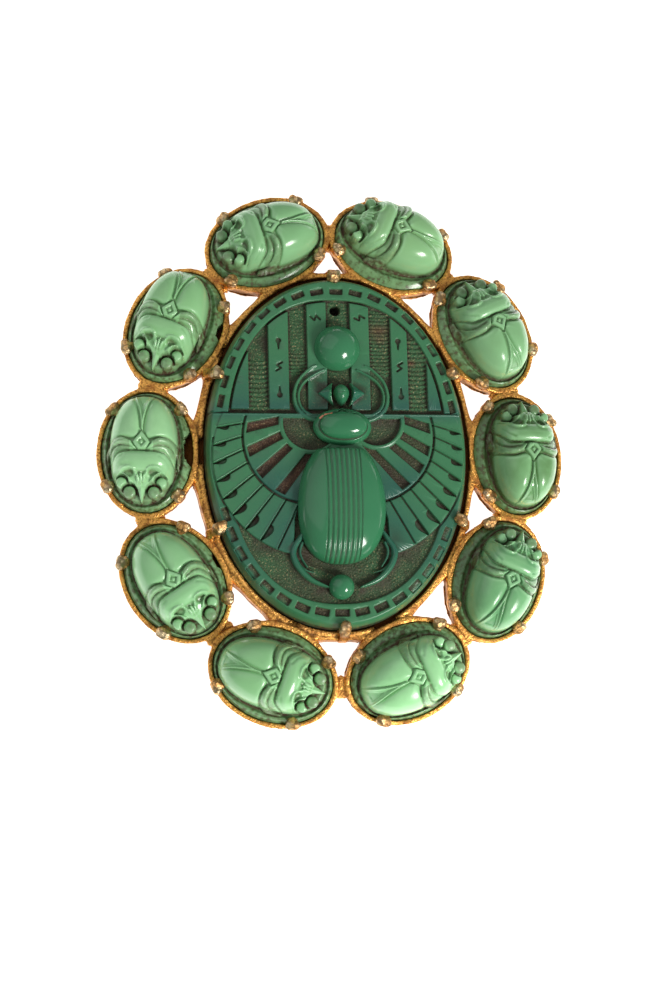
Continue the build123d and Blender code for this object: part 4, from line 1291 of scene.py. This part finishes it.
class SCARAB_OT_gilt_frame(bpy.types.Operator):
    """Cast the gilt frame: soften its edges, give it lumps, pits and wear"""

    bl_idname = "scarab.gilt_frame"
    bl_label = "Gilt frame"

    def execute(self, context):
        settings = context.scene.scarab_brooch.gilt
        bm = bmesh.new()
        bm.from_mesh(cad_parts["gilt_frame"].data)
        bmesh.ops.remove_doubles(bm, verts=bm.verts, dist=0.002 * MM)
        brass = gilt_brass(settings)
        made = piece("cast_frame", bm, brass, ["gilt_frame"])
        remesh = made.modifiers.new("Cast", "REMESH")
        remesh.mode = "VOXEL"
        remesh.voxel_size = settings.voxel
        soften = made.modifiers.new("Soften", "SMOOTH")
        soften.factor = 0.5
        soften.iterations = 6
        apply_modifiers(made)
        thin(made, settings.triangles)
        mesh = made.data
        count = len(mesh.vertices)
        points = np.empty((count, 3))
        normals = np.empty((count, 3))
        mesh.vertices.foreach_get("co", points.ravel())
        mesh.vertex_normals.foreach_get("vector", normals.ravel())
        lumps = settings.lumps / MM
        shift = lumps * (0.9 * noise_at(points, 1.9) + 0.55 * noise_at(points, 0.6))
        # Painted shade in the cups, in the ring and down the sides, and the bare claw tips
        recess_shade, bare = frame_marks(points / MM)
        shift *= 1 - 0.7 * recess_shade
        reach = np.where(points[:, 2] / MM < RING_RIM + 1.2, 0.56, 0.28)
        shift += (reach + 0.32 * noise_at(points, 0.5)) * bare - wall_taper(points / MM, normals)
        points += normals * shift[:, None] * MM
        mesh.vertices.foreach_set("co", points.ravel())
        standing = stands_out(mesh, points, normals)
        # Painted highlight on the points that stand out from their neighbours, standing also for worn
        # gilding
        edge = np.clip((standing - 0.03) / 0.05, 0, 1) * (1 - recess_shade) * 0.7
        # Painted shade on the points that sink below their neighbours
        crease = np.clip((-standing - 0.012) / 0.035, 0, 1) * 0.75
        for name, values in (("recess_shade", recess_shade), ("bare", bare), ("edge", edge), ("crease", crease)):
            layer = mesh.attributes.new(name, "FLOAT", "POINT")
            layer.data.foreach_set("value", values)
        mesh.update()
        return {"FINISHED"}


class SCARAB_OT_pin(bpy.types.Operator):
    """Give the pin on the back its satin brass"""

    bl_idname = "scarab.pin"
    bl_label = "Pin"

    def execute(self, context):
        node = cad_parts["brooch_pin"]
        brass = pin_brass()
        if node.data.materials:
            for slot in node.material_slots:
                slot.material = brass
        else:
            node.data.materials.append(brass)
        return {"FINISHED"}


# The stage

# The camera's place over the ring's rim in millimetres, and the lean and bearing of the line behind it
CAMERA_PLACE = (-33.1, -46.4, 212.4)
CAMERA_BACK = (13.84, -128.07)
CAMERA_ROLL = -1.53
CAMERA_LENS = 65.68
# The lights' places and sides, and the point that they face, in millimetres
SOFTBOX_PLACE = (160, -170, 170)
SOFTBOX_SIDE = 95
FILL_PLACE = (-260, 200, 300)
FILL_SIDE = 560
LIT_POINT = (0, 0, 3)


def camera_turn():
    """The camera's turn, from the direction behind it and its roll."""
    lean, at = (radians(value) for value in CAMERA_BACK)
    back = Vector((sin(lean) * cos(at), sin(lean) * sin(at), cos(lean)))
    right = Vector((0, 1, 0)).cross(back).normalized()
    up = back.cross(right)
    roll = radians(CAMERA_ROLL)
    right, up = right * cos(roll) + up * sin(roll), up * cos(roll) - right * sin(roll)
    return Matrix((right, up, back)).transposed()


def soft_light(name, place, target, size, power, tint):
    """A square softbox that faces a point; places in millimetres."""
    light = bpy.data.lights.new(name, "AREA")
    light.shape = "SQUARE"
    light.size = size * MM
    light.energy = power
    light.color = srgb(tint)[:3]
    made = bpy.data.objects.new(name, light)
    away = Vector(place) - Vector(target)
    turn = away.to_track_quat("Z", "Y").to_matrix().to_4x4()
    made.matrix_world = Matrix.Translation(Vector(place) * MM) @ turn
    bpy.context.scene.collection.objects.link(made)


class SCARAB_OT_stage(bpy.types.Operator):
    """Set the white paper floor, the soft lights and the camera"""

    bl_idname = "scarab.stage"
    bl_label = "Stage"

    def execute(self, context):
        settings = context.scene.scarab_brooch.stage
        scene = context.scene
        bm = bmesh.new()
        bmesh.ops.create_grid(bm, x_segments=1, y_segments=1, size=settings.floor_half)
        mesh = bpy.data.meshes.new("paper_floor")
        bm.to_mesh(mesh)
        bm.free()
        floor = bpy.data.objects.new("paper_floor", mesh)
        scene.collection.objects.link(floor)
        material, tree, shader, place = new_material("white paper", Roughness=0.9)
        # Cloudy paper, in patches 2 mm wide
        fibre = add(tree, "noise", place, 1 / (2 * MM), 2.0)
        tone = add(tree, "mix", fibre, tuple(settings.floor), srgb("#FCFCFC"))
        tree.links.new(tone, shader.inputs["Base Color"])
        shader.inputs["Emission Color"].default_value = (1, 1, 1, 1)
        shader.inputs["Emission Strength"].default_value = 1.0
        mesh.materials.append(material)
        world = bpy.data.worlds.new("pale surroundings")
        world.use_nodes = True
        background = world.node_tree.nodes["Background"]
        background.inputs["Color"].default_value = srgb("#F4F4F2")
        background.inputs["Strength"].default_value = settings.sky
        scene.world = world
        scene.view_settings.view_transform = "Standard"
        soft_light("softbox", SOFTBOX_PLACE, LIT_POINT, SOFTBOX_SIDE, settings.softbox, "#FFFDF8")
        soft_light("fill", FILL_PLACE, LIT_POINT, FILL_SIDE, settings.fill, "#FFFFFF")
        camera = bpy.data.cameras.new("camera")
        camera.sensor_fit = "VERTICAL"
        camera.sensor_height = 36
        camera.lens = CAMERA_LENS
        camera.clip_start = 0.01
        camera.clip_end = 20
        seat = bpy.data.objects.new("camera", camera)
        middle = Vector(CAMERA_PLACE) + Vector((0, 0, RING_RIM))
        seat.matrix_world = Matrix.Translation(middle * MM) @ camera_turn().to_4x4()
        scene.collection.objects.link(seat)
        scene.camera = seat
        return {"FINISHED"}


class SCARAB_PT_brooch(bpy.types.Panel):
    """The brooch's pieces and settings"""

    bl_label = "Scarab Brooch"
    bl_idname = "SCARAB_PT_brooch"
    bl_space_type = "VIEW_3D"
    bl_region_type = "UI"
    bl_category = "Brooch"

    def draw(self, context):
        layout = self.layout
        for operator in OPERATORS:
            layout.operator(operator.bl_idname)
        settings = context.scene.scarab_brooch
        for group in (settings.plaque, settings.stones, settings.gilt, settings.stage):
            box = layout.box()
            for name in group.bl_rna.properties.keys():
                if name not in ("rna_type", "name"):
                    box.prop(group, name)


OPERATORS = (
    SCARAB_OT_plaque_plate,
    SCARAB_OT_plaque_beetle,
    SCARAB_OT_stones,
    SCARAB_OT_gilt_frame,
    SCARAB_OT_pin,
    SCARAB_OT_stage,
)
SETTINGS = (PlaqueSettings, StoneSettings, FrameSettings, StageSettings, BroochSettings)
CLASSES = (*SETTINGS, *OPERATORS, SCARAB_PT_brooch)


def register():
    for item in CLASSES:
        bpy.utils.register_class(item)
    bpy.types.Scene.scarab_brooch = PointerProperty(type=BroochSettings)


def unregister():
    del bpy.types.Scene.scarab_brooch
    for item in reversed(CLASSES):
        bpy.utils.unregister_class(item)


def main():
    """Model the brooch and its stage."""
    register()
    bpy.ops.scarab.plaque_plate()
    bpy.ops.scarab.plaque_beetle()
    bpy.ops.scarab.stones()
    bpy.ops.scarab.gilt_frame()
    bpy.ops.scarab.pin()
    bpy.ops.scarab.stage()


if __name__ == "__main__":
    main()
